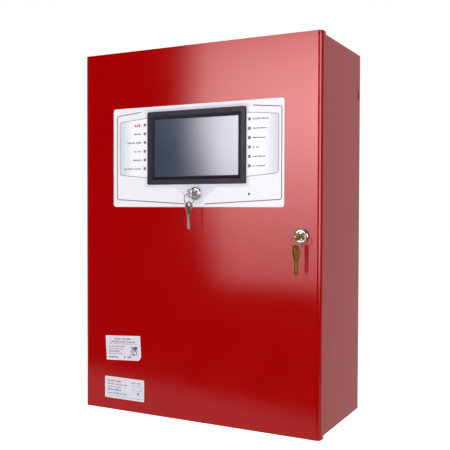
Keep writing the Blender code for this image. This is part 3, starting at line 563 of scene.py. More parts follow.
def tube(points, radius, sides):
    """Sweeps a circle along a path of places, without twisting it."""
    bm = bmesh.new()
    places = [Vector(p) for p in points]
    side = (places[1] - places[0]).normalized().orthogonal().normalized()
    loops = []
    for i, here in enumerate(places):
        ahead = (places[min(i + 1, len(places) - 1)] - places[max(i - 1, 0)]).normalized()
        side = (side - ahead * side.dot(ahead)).normalized()
        up = ahead.cross(side)
        loops.append([bm.verts.new(here + side * a + up * b) for a, b in circle((0, 0), radius, sides)])
    bridge(bm, loops)
    return bm


def moved(bm, shift=(0, 0, 0), turn=0.0, axis="Y", about=(0, 0, 0)):
    """The shape turned by an angle in degrees about a point, and then shifted."""
    spin = Matrix.Translation(about) @ Matrix.Rotation(math.radians(turn), 4, axis)
    spin = spin @ Matrix.Translation(-Vector(about))
    bmesh.ops.transform(bm, verts=bm.verts, matrix=Matrix.Translation(shift) @ spin)
    return bm


def as_object(bm):
    bmesh.ops.recalc_face_normals(bm, faces=bm.faces)
    mesh = bpy.data.meshes.new("shape")
    bm.to_mesh(mesh)
    bm.free()
    obj = bpy.data.objects.new("shape", mesh)
    bpy.context.scene.collection.objects.link(obj)
    return obj


def pour(shape, whole):
    """Adds a shape to a larger one, and frees it."""
    bmesh.ops.recalc_face_normals(shape, faces=shape.faces)
    mesh = bpy.data.meshes.new("shape")
    shape.to_mesh(mesh)
    shape.free()
    whole.from_mesh(mesh)
    bpy.data.meshes.remove(mesh)


def joined(shapes):
    whole = bmesh.new()
    for shape in shapes:
        pour(shape, whole)
    return whole


def carved(bm, *cutters):
    """The shape with each cutter taken away from it."""
    obj = as_object(bm)
    tools = []
    for cutter in cutters:
        tools.append(as_object(cutter))
        modifier = obj.modifiers.new("cut", "BOOLEAN")
        modifier.operation = "DIFFERENCE"
        modifier.solver = "EXACT"
        modifier.object = tools[-1]
    evaluated = obj.evaluated_get(bpy.context.evaluated_depsgraph_get())
    made = bmesh.new()
    made.from_mesh(evaluated.to_mesh())
    evaluated.to_mesh_clear()
    for used in [obj] + tools:
        mesh = used.data
        bpy.data.objects.remove(used)
        bpy.data.meshes.remove(mesh)
    return made


class Piece:
    """One visible piece: shapes in millimetres, each with its own finish, joined into one mesh."""

    def __init__(self, name, body, slot, node):
        self.name, self.body, self.slot, self.node = name, body, slot, node
        self.bm = bmesh.new()
        self.finishes = []

    def add(self, shape, finish=None):
        finish = finish or self.slot
        if finish not in self.finishes:
            self.finishes.append(finish)
        index = self.finishes.index(finish)
        for face in shape.faces:
            face.material_index = index
        pour(shape, self.bm)
        return self

    def make(self, angle=32, ride=True):
        bmesh.ops.scale(self.bm, verts=self.bm.verts, vec=(MM, MM, MM))
        mesh = bpy.data.meshes.new(self.name)
        self.bm.to_mesh(mesh)
        self.bm.free()
        mesh.shade_smooth()
        mesh.set_sharp_from_angle(angle=math.radians(angle))
        for finish in self.finishes:
            mesh.materials.append(FINISH[finish])
        obj = bpy.data.objects.new(self.name, mesh)
        bpy.context.scene.collection.objects.link(obj)
        normals = obj.modifiers.new("normals", "WEIGHTED_NORMAL")
        normals.keep_sharp = True
        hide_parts(self.node)
        if ride:
            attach(obj, self.body)
        return obj


def corners(node):
    """Lowest and highest corner of a CAD node, in millimetres."""
    low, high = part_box(node)
    return low / MM, high / MM


def middle(node):
    low, high = corners(node)
    return (low + high) / 2


def centre_of(node):
    """Middle of a CAD node as plain numbers."""
    return [(a + b) / 2 for a, b in zip(*corners(node))]


# Enclosure

SHEET = 1.5  # steel of the door and cabinet
DOOR_LOW, DOOR_HIGH = corners("door_panel")
BOX_LOW, BOX_HIGH = corners("back_box")
FRONT = DOOR_LOW.y
LED_PITCH = 14.25
LED_COUNT = 6
LED_X = (middle("light_pipe_left").x, middle("light_pipe_right").x)
LED_Z = [corners("light_pipe_left")[1].z - 6 - LED_PITCH * i for i in range(LED_COUNT)]
SOUNDER = middle("sounder")
SCREEN = middle("display_bezel")
ACCESS_LOCK = middle("access_lock_body")
DOOR_LOCK = middle("door_lock_body")
RIM = 13.0  # width of the cabinet's inward front flange
LOCK_HOLE = 9.6
KEYHOLE = (150, 280)  # distance from the middle, and height
OPEN_KNOCKOUTS = 2


def plane_box(x, z, width, height, near, far, radius=0.0):
    """A box centred at (x, z), between two depths."""
    low, high = sorted((near, far))
    return box((x - width / 2, low, z - height / 2), (x + width / 2, high, z + height / 2), radius)


def rod(x, z, radius, near, far, sides=32):
    return prism(circle((x, z), radius, sides), "Y", *sorted((near, far)))


def screen_hole(far):
    return plane_box(SCREEN.x, SCREEN.z, 168.6, 107.6, FRONT - 5, far)


def front_holes(*more):
    """Holes shared by the door, faceplate and its print (lamps, sounder and access lock), and any more."""
    near, far = FRONT - 5, FRONT + 8
    cutters = [rod(x, z, 2.6, near, far, 24) for x in LED_X for z in LED_Z]
    cutters.append(rod(SOUNDER.x, SOUNDER.z, 1.7, near, far, 20))
    cutters.append(rod(ACCESS_LOCK.x, ACCESS_LOCK.z, LOCK_HOLE, near, far, 48))
    return joined(cutters + list(more))


def folded_box(low, high, front_radius, segments):
    """A closed box whose front upright edges are bent to a radius."""

    def front_upright(a, b):
        return abs(a.y - low[1]) < 0.01 and abs(b.y - low[1]) < 0.01 and abs(a.z - b.z) > 1

    return rounded(box(low, high), front_radius, segments, front_upright)


def door_panel():
    low, high = DOOR_LOW, DOOR_HIGH
    bend, edge = 6.5, 1.8

    def level_front(a, b):
        return abs(a.z - b.z) < 1 and max(a.y, b.y) < high.y - 1 and abs(a.z) > high.z - 1

    body = rounded(folded_box(low, high, bend, 14), edge, 5, level_front)
    inset = Vector((SHEET, 0, SHEET))
    inner_low, inner_high = low + inset + Vector((0, SHEET, 0)), high - inset + Vector((0, 5, 0))
    inside = folded_box(inner_low, inner_high, bend - SHEET, 14)
    lock_hole = rod(DOOR_LOCK.x, DOOR_LOCK.z, LOCK_HOLE, FRONT - 5, FRONT + 8, 48)
    door = Piece("door_shell", "door", "red_paint", "door_panel")
    door.add(carved(body, inside, front_holes(lock_hole, screen_hole(FRONT + 8)))).make()


def knockout(centre, radius, axis, wall, tab=22, slit=1.3, turns=(0, 180)):
    """Cutters for a disc pressed in a little, with a slit round it at each turn."""
    slits = []
    for turn in turns:
        outer = arc(centre, radius, turn + tab, turn + 180 - tab, 20)
        inner = arc(centre, radius - slit, turn + 180 - tab, turn + tab, 20)
        slits.append(prism(outer + inner, axis, wall - 5, wall + 5))
    press = prism(circle(centre, radius - 0.65, 56), axis, wall - 0.3, wall + 5)
    return slits, press


def back_box():
    low, high = BOX_LOW, BOX_HIGH
    bend = 4.0

    def rear_level(a, b):
        return a.y > -1 and b.y > -1 and abs(a.x - b.x) < 1

    def through(a, b):
        return abs(a.y - b.y) > 1

    body = rounded(folded_box(low, high, bend, 8), 2.0, 4, rear_level)
    inset = Vector((SHEET, SHEET, SHEET))
    inside = folded_box(low + inset, high - inset, bend - SHEET, 8)
    mouth = box((low.x + RIM, low.y - 5, low.z + RIM), (high.x - RIM - 1.5, low.y + 20, high.z - RIM))
    cutters = [rounded(mouth, 3.0, 4, through)]
    for x in (-KEYHOLE[0], KEYHOLE[0]):
        slot = arc((x, KEYHOLE[1]), 6, 120, 420, 28) + [(x + 3, 291), (x - 3, 291)]
        cutters.append(prism(slot, "Y", -5, 5))
    cutters.append(rod(0, -200, 3.5, -5, 5))
    slits, press = knockout((-22, 230), 14.0, "X", high.x, tab=52, slit=4.2, turns=(-90,))
    cutters += slits
    presses = [press]
    for i, x in enumerate(spread(0, 7, 50.0)):
        if i < OPEN_KNOCKOUTS:
            cutters.append(prism(circle((x, -40.0), 10.0, 48), "Z", high.z - 5, high.z + 5))
        else:
            slits, press = knockout((x, -40.0), 10.0, "Z", high.z)
            cutters += slits
            presses.append(press)
    shell = carved(body, inside, joined(cutters), joined(presses))
    Piece("cabinet_shell", "cabinet", "red_paint", "back_box").add(shell).make()


def door_bumpers():
    """Ribbed rubber pads on the back of the door."""
    ribs = 9
    for end in ("upper", "lower"):
        node = "door_bumper_" + end
        low, high = corners(node)
        pad = Piece("bumper_pad_" + end, "door", "rubber", node)
        pad.add(box(low, Vector((high.x, low.y + 0.5, high.z)), 0.2))
        pitch = (high.z - low.z) / ribs
        for i in range(ribs):
            z = low.z + (i + 0.5) * pitch
            rib_low = (low.x + 0.4, low.y + 0.4, z - pitch * 0.36)
            pad.add(box(rib_low, (high.x - 0.4, high.y, z + pitch * 0.36), 0.15))
        pad.make()


# Faceplate and its print

FACE = middle("faceplate_overlay")
FACE_FRONT = corners("faceplate_overlay")[0].y


def ink(outline, surface, layer=1):
    """A printed shape on a surface that faces -Y; a higher layer lies over a lower one."""
    return prism(outline, "Y", surface - 0.025 * layer - 0.015, surface + 0.02)


def patch(x0, x1, z0, z1):
    return [(x0, z0), (x1, z0), (x1, z1), (x0, z1)]


def word_row(x, z, height, widths, surface, chance, align="left"):
    """Blocks that stand for printed words, each word made of letter-sized blocks without letter shapes."""
    gap = height * 0.55
    total = sum(widths) + gap * (len(widths) - 1)
    start = {"left": x, "centre": x - total / 2, "right": x - total}[align]
    shapes = []
    for width in widths:
        here = start
        while here < start + width - 0.3 * height:
            letter = min(height * chance.uniform(0.5, 0.75), start + width - here)
            tall = height * chance.choice((0.72, 0.72, 1.0))
            shapes.append(ink(patch(here, here + letter, z - height / 2, z - height / 2 + tall), surface, 3))
            here += letter + height * 0.22
        start += width + gap
    return joined(shapes)


def faceplate():
    y = FACE_FRONT
    low, high = corners("faceplate_overlay")
    plate = Piece("printed_faceplate", "door", "white_label", "faceplate_overlay")
    outline = rounded_rectangle((FACE.x, FACE.z), (high.x - low.x, high.z - low.z), 4.5, 10)
    face = carved(prism(outline, "Y", low.y, high.y), front_holes(screen_hole(FRONT + 5)))
    plate.add(sharp_edges_rounded(face, 0.08, 1))
    behind_bezel = [(-91.4, 202.1), (97.5, 202.1), (97.5, 73.7), (42, 73.7)]
    behind_bezel += arc((ACCESS_LOCK.x, ACCESS_LOCK.z), 18, -25, -155, 16) + [(-33, 73.7), (-91.4, 73.7)]
    plate.add(carved(ink(behind_bezel, y), front_holes(screen_hole(FRONT + 5))), "ink_lavender")
    fields = {
        "left": [(-86.5, 187.9), (-141, 183.5), (-141, 95.6), (-86.5, 90.6)],
        "right": [(93.6, 187.4), (146.7, 183.0), (146.7, 94.4), (93.6, 89.7)],
    }
    borders = {
        "left": [(-99.2, 198.3), (-146.3, 193.7), (-146.3, 55.0), (-15.5, 48.0)],
        "right": [(104, 197.6), (151.7, 193.4), (151.7, 54.6), (20.9, 47.7)],
    }
    for side, field in fields.items():
        inner = filleted(field, 5.0, 6)
        plate.add(carved(ink(inner, y, 2), front_holes()), "field_" + side)
        plate.add(ink(strip(inner, 1.1), y, 3), "ink_outline")
        plate.add(ink(strip(filleted(borders[side], 4.0, 6), 1.4), y, 3), "ink_purple")
    lamp_names(plate, y)
    plate.make()


def lamp_names(plate, y):
    """Rows of word blocks beside the lamps."""
    chance = random.Random(7)
    left_rows = [[13], [5, 8], [16, 10], [5, 8], [16], [7, 12, 13]]
    right_rows = [[13, 12], [10, 12], [22], [4, 6], [7, 13], [5, 15]]
    for row, z in enumerate(LED_Z):
        height = 5.0 if row == 0 else 2.4
        finish = "ink_red" if row == 0 else "ink_dark"
        plate.add(word_row(LED_X[0] - 6.8, z, height, left_rows[row], y, chance, "right"), finish)
        plate.add(word_row(LED_X[1] + 5.7, z, 2.4, right_rows[row], y, chance), "ink_dark")


def lofted_frame(rings):
    """A mitred frame from (half width, half height, depth, corner radius) rings, closed on itself."""
    bm = bmesh.new()
    loops = []
    for half_w, half_h, y, radius in rings:
        outline = rounded_rectangle((SCREEN.x, SCREEN.z), (half_w * 2, half_h * 2), radius, 5)
        loops.append([bm.verts.new((x, y, z)) for x, z in outline])
    bridge(bm, loops, closed=True)
    return bm


def askew(bm, left, right, turn):
    """Turns a thin flat shape slightly about the upright line through its middle."""
    for vertex in bm.verts:
        vertex.co.y -= (vertex.co.x - (left + right) / 2) * turn
    return bm


def bezel_and_screen():
    low, high = corners("display_bezel")
    w, h = (high.x - low.x) / 2, (high.z - low.z) / 2
    flat, opening = 8.0, 12.6  # widths from the outer edge to the slope's start and to the opening
    rings = [
        (w, h, high.y, 2.0),
        (w, h, low.y + 0.7, 2.0),
        (w - 0.25, h - 0.25, low.y + 0.2, 1.9),
        (w - 0.8, h - 0.8, low.y, 1.6),
        (w - flat + 0.3, h - flat + 0.3, low.y, 0.8),
        (w - flat, h - flat, low.y + 0.2, 0.7),
        (w - opening, h - opening, high.y - 0.5, 0.4),
        (w - opening, h - opening, high.y, 0.4),
    ]
    Piece("bezel_frame", "door", "black_plastic", "display_bezel").add(lofted_frame(rings)).make(20)
    glass_low, glass_high = corners("touch_panel")
    glass = Piece("touch_glass", "door", "screen_glass", "touch_panel")
    turn = 0.0052  # the pane sits a little askew in the bezel
    glass.add(askew(box(glass_low, glass_high, 0.3), glass_low.x, glass_high.x, turn))
    top = glass_low.y
    # painted shade: a dark band on the glass just inside the bezel's opening stands in for the shadowed gap
    # next to the screen
    shade_band_rings = [(w - 10, h - 10, top - 0.03), (w - 10, h - 10, top + 0.1)]
    shade_band_rings += [(w - 13.6, h - 13.6, top + 0.1), (w - 13.6, h - 13.6, top - 0.03)]
    painted_shade_band = lofted_frame([(*ring, 0.5) for ring in shade_band_rings])
    glass.add(askew(painted_shade_band, glass_low.x, glass_high.x, turn), "ink_dark")
    glass.make()


def lamps():
    """A moulded strip with six domed lenses on each side, and its board."""
    for side, x in zip(("left", "right"), LED_X):
        node = "light_pipe_" + side
        low, high = corners(node)
        back = high.y - 2.4
        pipe = Piece("lamp_strip_" + side, "door", "grey_lens", node)
        pipe.add(box((low.x, back, low.z), (high.x, high.y, high.z), 0.4))
        dome = [(2.2 * sine, low.y + 1.5 * (1 - cosine)) for cosine, sine in arc((0, 0), 1, 0, 90, 8)]
        for z in LED_Z:
            pipe.add(turned(dome + [(2.2, back + 1), (0, back + 1)], (x, 0, z), "Y"))
        pipe.make()
        node = "led_board_" + side
        low, high = corners(node)
        board = Piece("lamp_board_" + side, "door", "circuit_board", node).add(box(low, high, 0.1))
        for z in LED_Z:
            board.add(plane_box(x, z, 3.2, 1.6, low.y - 0.25, low.y + 0.1, 0.1), "nylon_white")
            board.add(plane_box(x + 4.2, z + 3.5, 1.6, 0.8, high.y - 0.05, high.y + 0.4, 0.1), "chip_black")
        board.add(plane_box(x, low.z + 5, 9, 5, high.y - 0.1, high.y + 2.2, 0.3), "nylon_white")
        board.make()


def sounder():
    low, high = corners("sounder")
    r, bore = (high.x - low.x) / 2, 1.9
    profile = [(0, low.y + 4), (bore, low.y + 4), (bore, low.y), (r - 0.5, low.y), (r, low.y + 0.5)]
    profile += [(r, high.y - 1.0), (r - 0.6, high.y - 0.3), (r - 1.6, high.y), (0, high.y)]
    can = turned(profile, (SOUNDER.x, 0, SOUNDER.z), "Y", 48)
    Piece("sounder_can", "door", "black_plastic", "sounder").add(can).make()


# Locks and keys

PLUG_R = 6.0
RING_R = 8.5
SPARE_TURN = 63.0  # of a hanging key, from facing the front
KEY_SHOULDER = 21.5  # from the bow's end to the shoulder
KEY_LENGTH = 44.0
KEY_HOLE = (4.6, 2.75)  # distance from the bow's end, and radius


def lock_body(prefix, seat):
    node = prefix + "_lock_body"
    low, high = corners(node)
    x, _, z = middle(node)
    r = (high.x - low.x) / 2
    bore, barrel, barrel_turns = PLUG_R + 0.3, 9.2, 14
    dome_width, dome_height = 3.2, 2.0  # of the rounded edge of the head
    rim = [(r - dome_width * (1 - u), low.y + dome_height * (1 - v)) for u, v in arc((0, 0), 1, 90, 0, 8)]
    profile = [(bore, low.y + 0.7), (bore + 0.5, low.y + 0.2), (bore + 1.0, low.y)] + rim
    thread_start = FRONT + SHEET + 0.2
    pitch = (high.y - 0.8 - thread_start) / barrel_turns
    profile += [(r, seat), (barrel, seat), (barrel, thread_start)]
    for i in range(barrel_turns):
        profile.append((barrel - 0.5, thread_start + (i + 0.5) * pitch))
        profile.append((barrel, thread_start + (i + 1) * pitch))
    profile.append((barrel - 0.6, high.y))
    if prefix == "door":
        profile.append((bore, high.y))
    else:
        profile = [(0, high.y - 2), (bore, high.y - 2)] + profile + [(0, high.y)]
    case = Piece(prefix + "_lock_case", "door", "chrome", node)
    case.add(turned(profile, (x, 0, z), "Y", 64)).make(28)


def lock_nut(prefix):
    node = prefix + "_lock_nut"
    low, high = corners(node)
    x, _, z = middle(node)
    reach = 12 / math.cos(math.pi / 6)
    angles = [math.pi / 6 + math.pi / 3 * i for i in range(6)]
    hexagon = [(x + reach * math.cos(a), z + reach * math.sin(a)) for a in angles]
    nut = sharp_edges_rounded(prism(hexagon, "Y", low.y + 0.8, high.y), 0.6, 3)
    nut = carved(nut, rod(x, z, 9.5, low.y - 2, high.y + 2, 48))
    washer = [(9.5, low.y), (12.9, low.y), (12.9, low.y + 0.75), (9.5, low.y + 0.75)]
    piece = Piece(prefix + "_hex_nut", "door", "zinc_steel", node)
    piece.add(nut).add(turned(washer, (x, 0, z), "Y", 48)).make()


def lock_plug(prefix, body):
    node = prefix + "_lock_plug"
    low, high = corners(node)
    x, _, z = middle(node)
    profile = [(0, low.y), (PLUG_R - 0.5, low.y), (PLUG_R, low.y + 0.5)]
    cutters = [plane_box(x, z, 2.5, 7.7, low.y - 2, low.y + 23.4)]
    for i in range(4):
        cutters.append(plane_box(x, z + 3 - 2 * i, 3.4, 0.7, low.y - 2, low.y + 0.3))
    if prefix == "door":
        rear = FRONT + 22
        profile += [(PLUG_R, rear), (3.0, rear), (3.0, high.y - 0.3), (2.7, high.y), (0, high.y)]
        cutters.append(rod(x, z, 1.6, FRONT + 21, high.y + 3, 24))
    else:
        profile += [(PLUG_R, high.y), (0, high.y)]
    plug = Piece(prefix + "_lock_cylinder", body, "chrome", node)
    plug.add(carved(turned(profile, (x, 0, z), "Y", 48), *cutters)).make(28)


def key_blank(bow_half, bow_reach):
    """A flat key as (along, across): a pear-shaped bow that narrows to the shoulder, and a bitted blade."""
    shoulder, blade, thick = 3.1, 2.4, 1.8
    swell = bow_reach * 0.42
    half = [(0, bow_half * 0.2), (swell * 0.35, bow_half * 0.72), (swell, bow_half), (bow_reach, shoulder)]
    half = filleted([(0, 0)] + half, 6.0, 5)[1:]
    upper = half + [(KEY_SHOULDER, shoulder), (KEY_SHOULDER, blade)]
    for i, depth in enumerate((1.1, 0.5, 1.4, 0.8, 1.2, 0.6, 1.3)):
        notch = KEY_SHOULDER + 2.4 + i * 2.3
        upper += [(notch - 0.8, blade), (notch, blade - depth), (notch + 0.5, blade - depth)]
    upper += [(KEY_LENGTH - 1.8, blade), (KEY_LENGTH, 0.5)]
    lower = [(a, -b) for a, b in half] + [(KEY_SHOULDER, -shoulder), (KEY_SHOULDER, -blade)]
    lower += [(KEY_LENGTH - 2.2, -blade), (KEY_LENGTH, -0.5)]
    hole_at, hole_radius = KEY_HOLE
    cutters = [prism(circle((hole_at, 0), hole_radius), "Z", -5, 5)]
    inner = (bow_half - 2.2) * 0.75
    pocket = [(hole_at + 4.6, inner), (hole_at + 4.6, -inner)]
    pocket += [(bow_reach - 1.5, -shoulder + 1.6), (bow_reach - 1.5, shoulder - 1.6)]
    for side in (-1, 1):
        ends = sorted((side * 0.45, side * 2))
        cutters.append(box((KEY_SHOULDER - 1.5, -1.3, ends[0]), (KEY_LENGTH + 1, -0.3, ends[1])))
        cutters.append(prism(filleted(pocket, 1.2, 4, closed=True), "Z", *sorted((side * 0.72, side * 2))))
    blank = prism(upper + lower[::-1], "Z", -thick / 2, thick / 2)
    return sharp_edges_rounded(carved(blank, *cutters), 0.22, 2, 40)


def placed_key(bm, hanging, hole):
    """Turns a flat key so that its hole is at the given point, hanging from it or pointing into the lock."""
    bmesh.ops.translate(bm, verts=bm.verts, vec=(-KEY_HOLE[0], 0, 0))
    columns = ((0, 0, -1), (1, 0, 0), (0, 1, 0)) if hanging else ((0, 1, 0), (0, 0, 1), (1, 0, 0))
    turn = Matrix(columns).transposed().to_4x4()
    if hanging:
        turn = Matrix.Rotation(math.radians(SPARE_TURN), 4, "Z") @ turn
    bmesh.ops.transform(bm, verts=bm.verts, matrix=Matrix.Translation(hole) @ turn)
    return bm


def key_and_ring(prefix, key_body, ring_body, finish, shape, spares):
    """The key in the lock, a split ring through its bow, and the spare keys that hang on the ring."""
    node = prefix + "_key"
    x, _, z = centre_of(node)
    hole = Vector((x, corners(node)[0].y + KEY_HOLE[0], z))
    key = Piece(prefix + "_lock_key", key_body, finish, node)
    key.add(placed_key(key_blank(*shape), False, hole)).make(35)
    split_ring(prefix, hole, ring_body)
    for name, body in spares:
        x, y, _ = centre_of(name)
        hang = Vector((x, y, corners(name)[1].z - KEY_HOLE[0]))
        Piece(name + "_shape", body, finish, name).add(placed_key(key_blank(*shape), True, hang)).make(35)


def split_ring(prefix, hole, body):
    """Two turns of wire side by side, hanging from the key's hole."""
    turns, steps, wire = 2.0, 48, 0.42
    points = []
    for i in range(int(turns * steps) - 1):
        a = 2 * math.pi * i / steps + 2.4
        side = (i / steps - turns / 2) * 0.84
        reach = RING_R + (0.12 if i < 4 or i > turns * steps - 6 else 0.0)
        points.append(Vector((reach * math.sin(a), side, reach * math.cos(a) - RING_R)) + hole)
    ring = Piece(prefix + "_split_ring", body, "zinc_steel", prefix + "_key_ring")
    ring.add(tube(points, wire, 10), "ring_steel").make(50)


def door_cam():
    """A cranked cam with a round hole, held by a screw at the back of the door lock."""
    low, high = corners("door_lock_cam")
    x, z = (low.x + high.x) / 2, DOOR_LOCK.z
    hub = high.y - 1.0
    path = [(hub, low.z), (hub, z + 15.5), (low.y + 1.0, z + 15.5), (low.y + 1.0, high.z)]
    blank = carved(folded(path, 2.5, 5, 2.0, "X", low, high), rod(x, z, 3.3, hub - 4, hub + 4))
    cam = Piece("lock_cam", "door_plug", "zinc_steel", "door_lock_cam")
    cam.add(sharp_edges_rounded(blank, 0.3, 2)).make()
    low, high = corners("door_lock_cam_screw")
    head = high.y - 2
    profile = [(0, low.y), (1.2, low.y), (1.2, head), (4.5, head), (4.5, head + 1.2)]
    profile += [(3.7, high.y), (0, high.y)]
    cross = [plane_box(x, z, w, h, high.y - 1.0, high.y + 2) for w, h in ((4.6, 0.9), (0.9, 4.6))]
    screw = Piece("cam_screw", "door_plug", "zinc_steel", "door_lock_cam_screw")
    screw.add(carved(turned(profile, (x, 0, z), "Y"), *cross)).make()


# Labels


def upper_label():
    """A tilted sticker with one corner cut, and bars in place of print."""
    low, high = corners("upper_label")
    face = low.y
    cx, cz = -135, -194
    chance = random.Random(11)
    outline = [(-35, -20.5), (30, -20.5), (35, -14), (35, 20.5), (-35, 20.5)]
    shapes = [(prism(outline, "Y", face, high.y), "white_label")]
    paper = filleted([(a * 0.965, b * 0.94) for a, b in outline], 1.2, 3, closed=True)
    shapes.append((ink(paper, face), "label_paper"))
    rows = [
        (0, 15.2, 2.6, [14, 6, 12], "ink_red", "centre"),
        (0, 10.4, 3.2, [18, 12, 16], "ink_blue", "centre"),
        (-30, 2.6, 2.0, [11, 7, 14], "ink_red", "left"),
        (-30, -1.6, 2.0, [9, 13, 6], "ink_grey", "left"),
        (-30, -5.6, 2.2, [12, 9], "ink_purple", "left"),
        (-30, -9.8, 2.0, [8, 8, 10], "ink_grey", "left"),
        (-30, -15.4, 2.6, [10, 7], "ink_dark", "left"),
    ]
    for x, z, height, widths, finish, align in rows:
        shapes.append((word_row(x, z, height, widths, face, chance, align), finish))
    shapes.append((ink(patch(-30, 31, 6.4, 6.9), face, 3), "ink_purple"))
    cells = []
    for i in range(9):
        for k in range(9):
            if chance.random() < 0.55:
                cell = patch(14 + i * 1.6, 15.6 + i * 1.6, -12 + k * 1.6, -10.4 + k * 1.6)
                cells.append(ink(cell, face, 3))
    shapes.append((joined(cells), "ink_dark"))
    shapes.append((ink(circle((2, -15.4), 1.5, 20), face, 3), "ink_purple"))
    shapes.append((ink(patch(8, 15, -16.6, -14.2), face, 3), "ink_blue"))
    label = Piece("upper_sticker", "door", "white_label", "upper_label")
    for shape, finish in shapes:
        moved(shape, turn=-3.4)
        label.add(moved(shape, (cx, 0, cz)), finish)
    label.make()


def lower_label():
    node = "lower_label"
    low, high = corners(node)
    face = low.y
    x, _, z = middle(node)
    w, h = high.x - low.x, high.z - low.z
    chance = random.Random(12)
    plate = Piece("lower_plate", "door", "white_label", node)
    base = prism(rounded_rectangle((x, z), (w, h), 1.5, 5), "Y", low.y, high.y)
    plate.add(sharp_edges_rounded(base, 0.2, 2))
    plate.add(ink(rounded_rectangle((x, z), (w - 2.5, h - 2.5), 1.0, 4), face), "label_paper")
    plate.add(ink(strip([(x - 36, z - 14.5), (x + 36, z - 14.5)], 0.6), face, 2), "ink_grey")
    rows = [
        (-34, 11.5, 3.0, [16, 11], "ink_red"),
        (-34, 6.0, 2.2, [13, 8, 17], "ink_grey"),
        (-34, 1.4, 2.2, [10, 15], "ink_grey"),
        (-34, -3.4, 3.4, [12, 14], "ink_teal"),
        (-34, -9.4, 2.6, [9, 19, 8], "ink_blue"),
        (14, 11.5, 2.2, [9, 8], "ink_grey"),
    ]
    for right, up, height, widths, finish in rows:
        plate.add(word_row(x + right, z + up, height, widths, face, chance), finish)
    plate.add(ink(circle((x + 28, z - 6), 2.2, 24), face, 3), "ink_teal")
    frame_path = [(16, 7), (35, 7), (35, -1), (16, -1), (16, 6.6)]
    frame_path = filleted([(x + right, z + up) for right, up in frame_path], 0.8, 3)
    plate.add(ink(strip(frame_path, 0.5), face, 3), "ink_grey")
    plate.make()


# Inside the door and cabinet


BOARD_THICK = 1.6  # of every circuit board's laminate
BOARD_START = -25.1  # front face of the boards in the cabinet


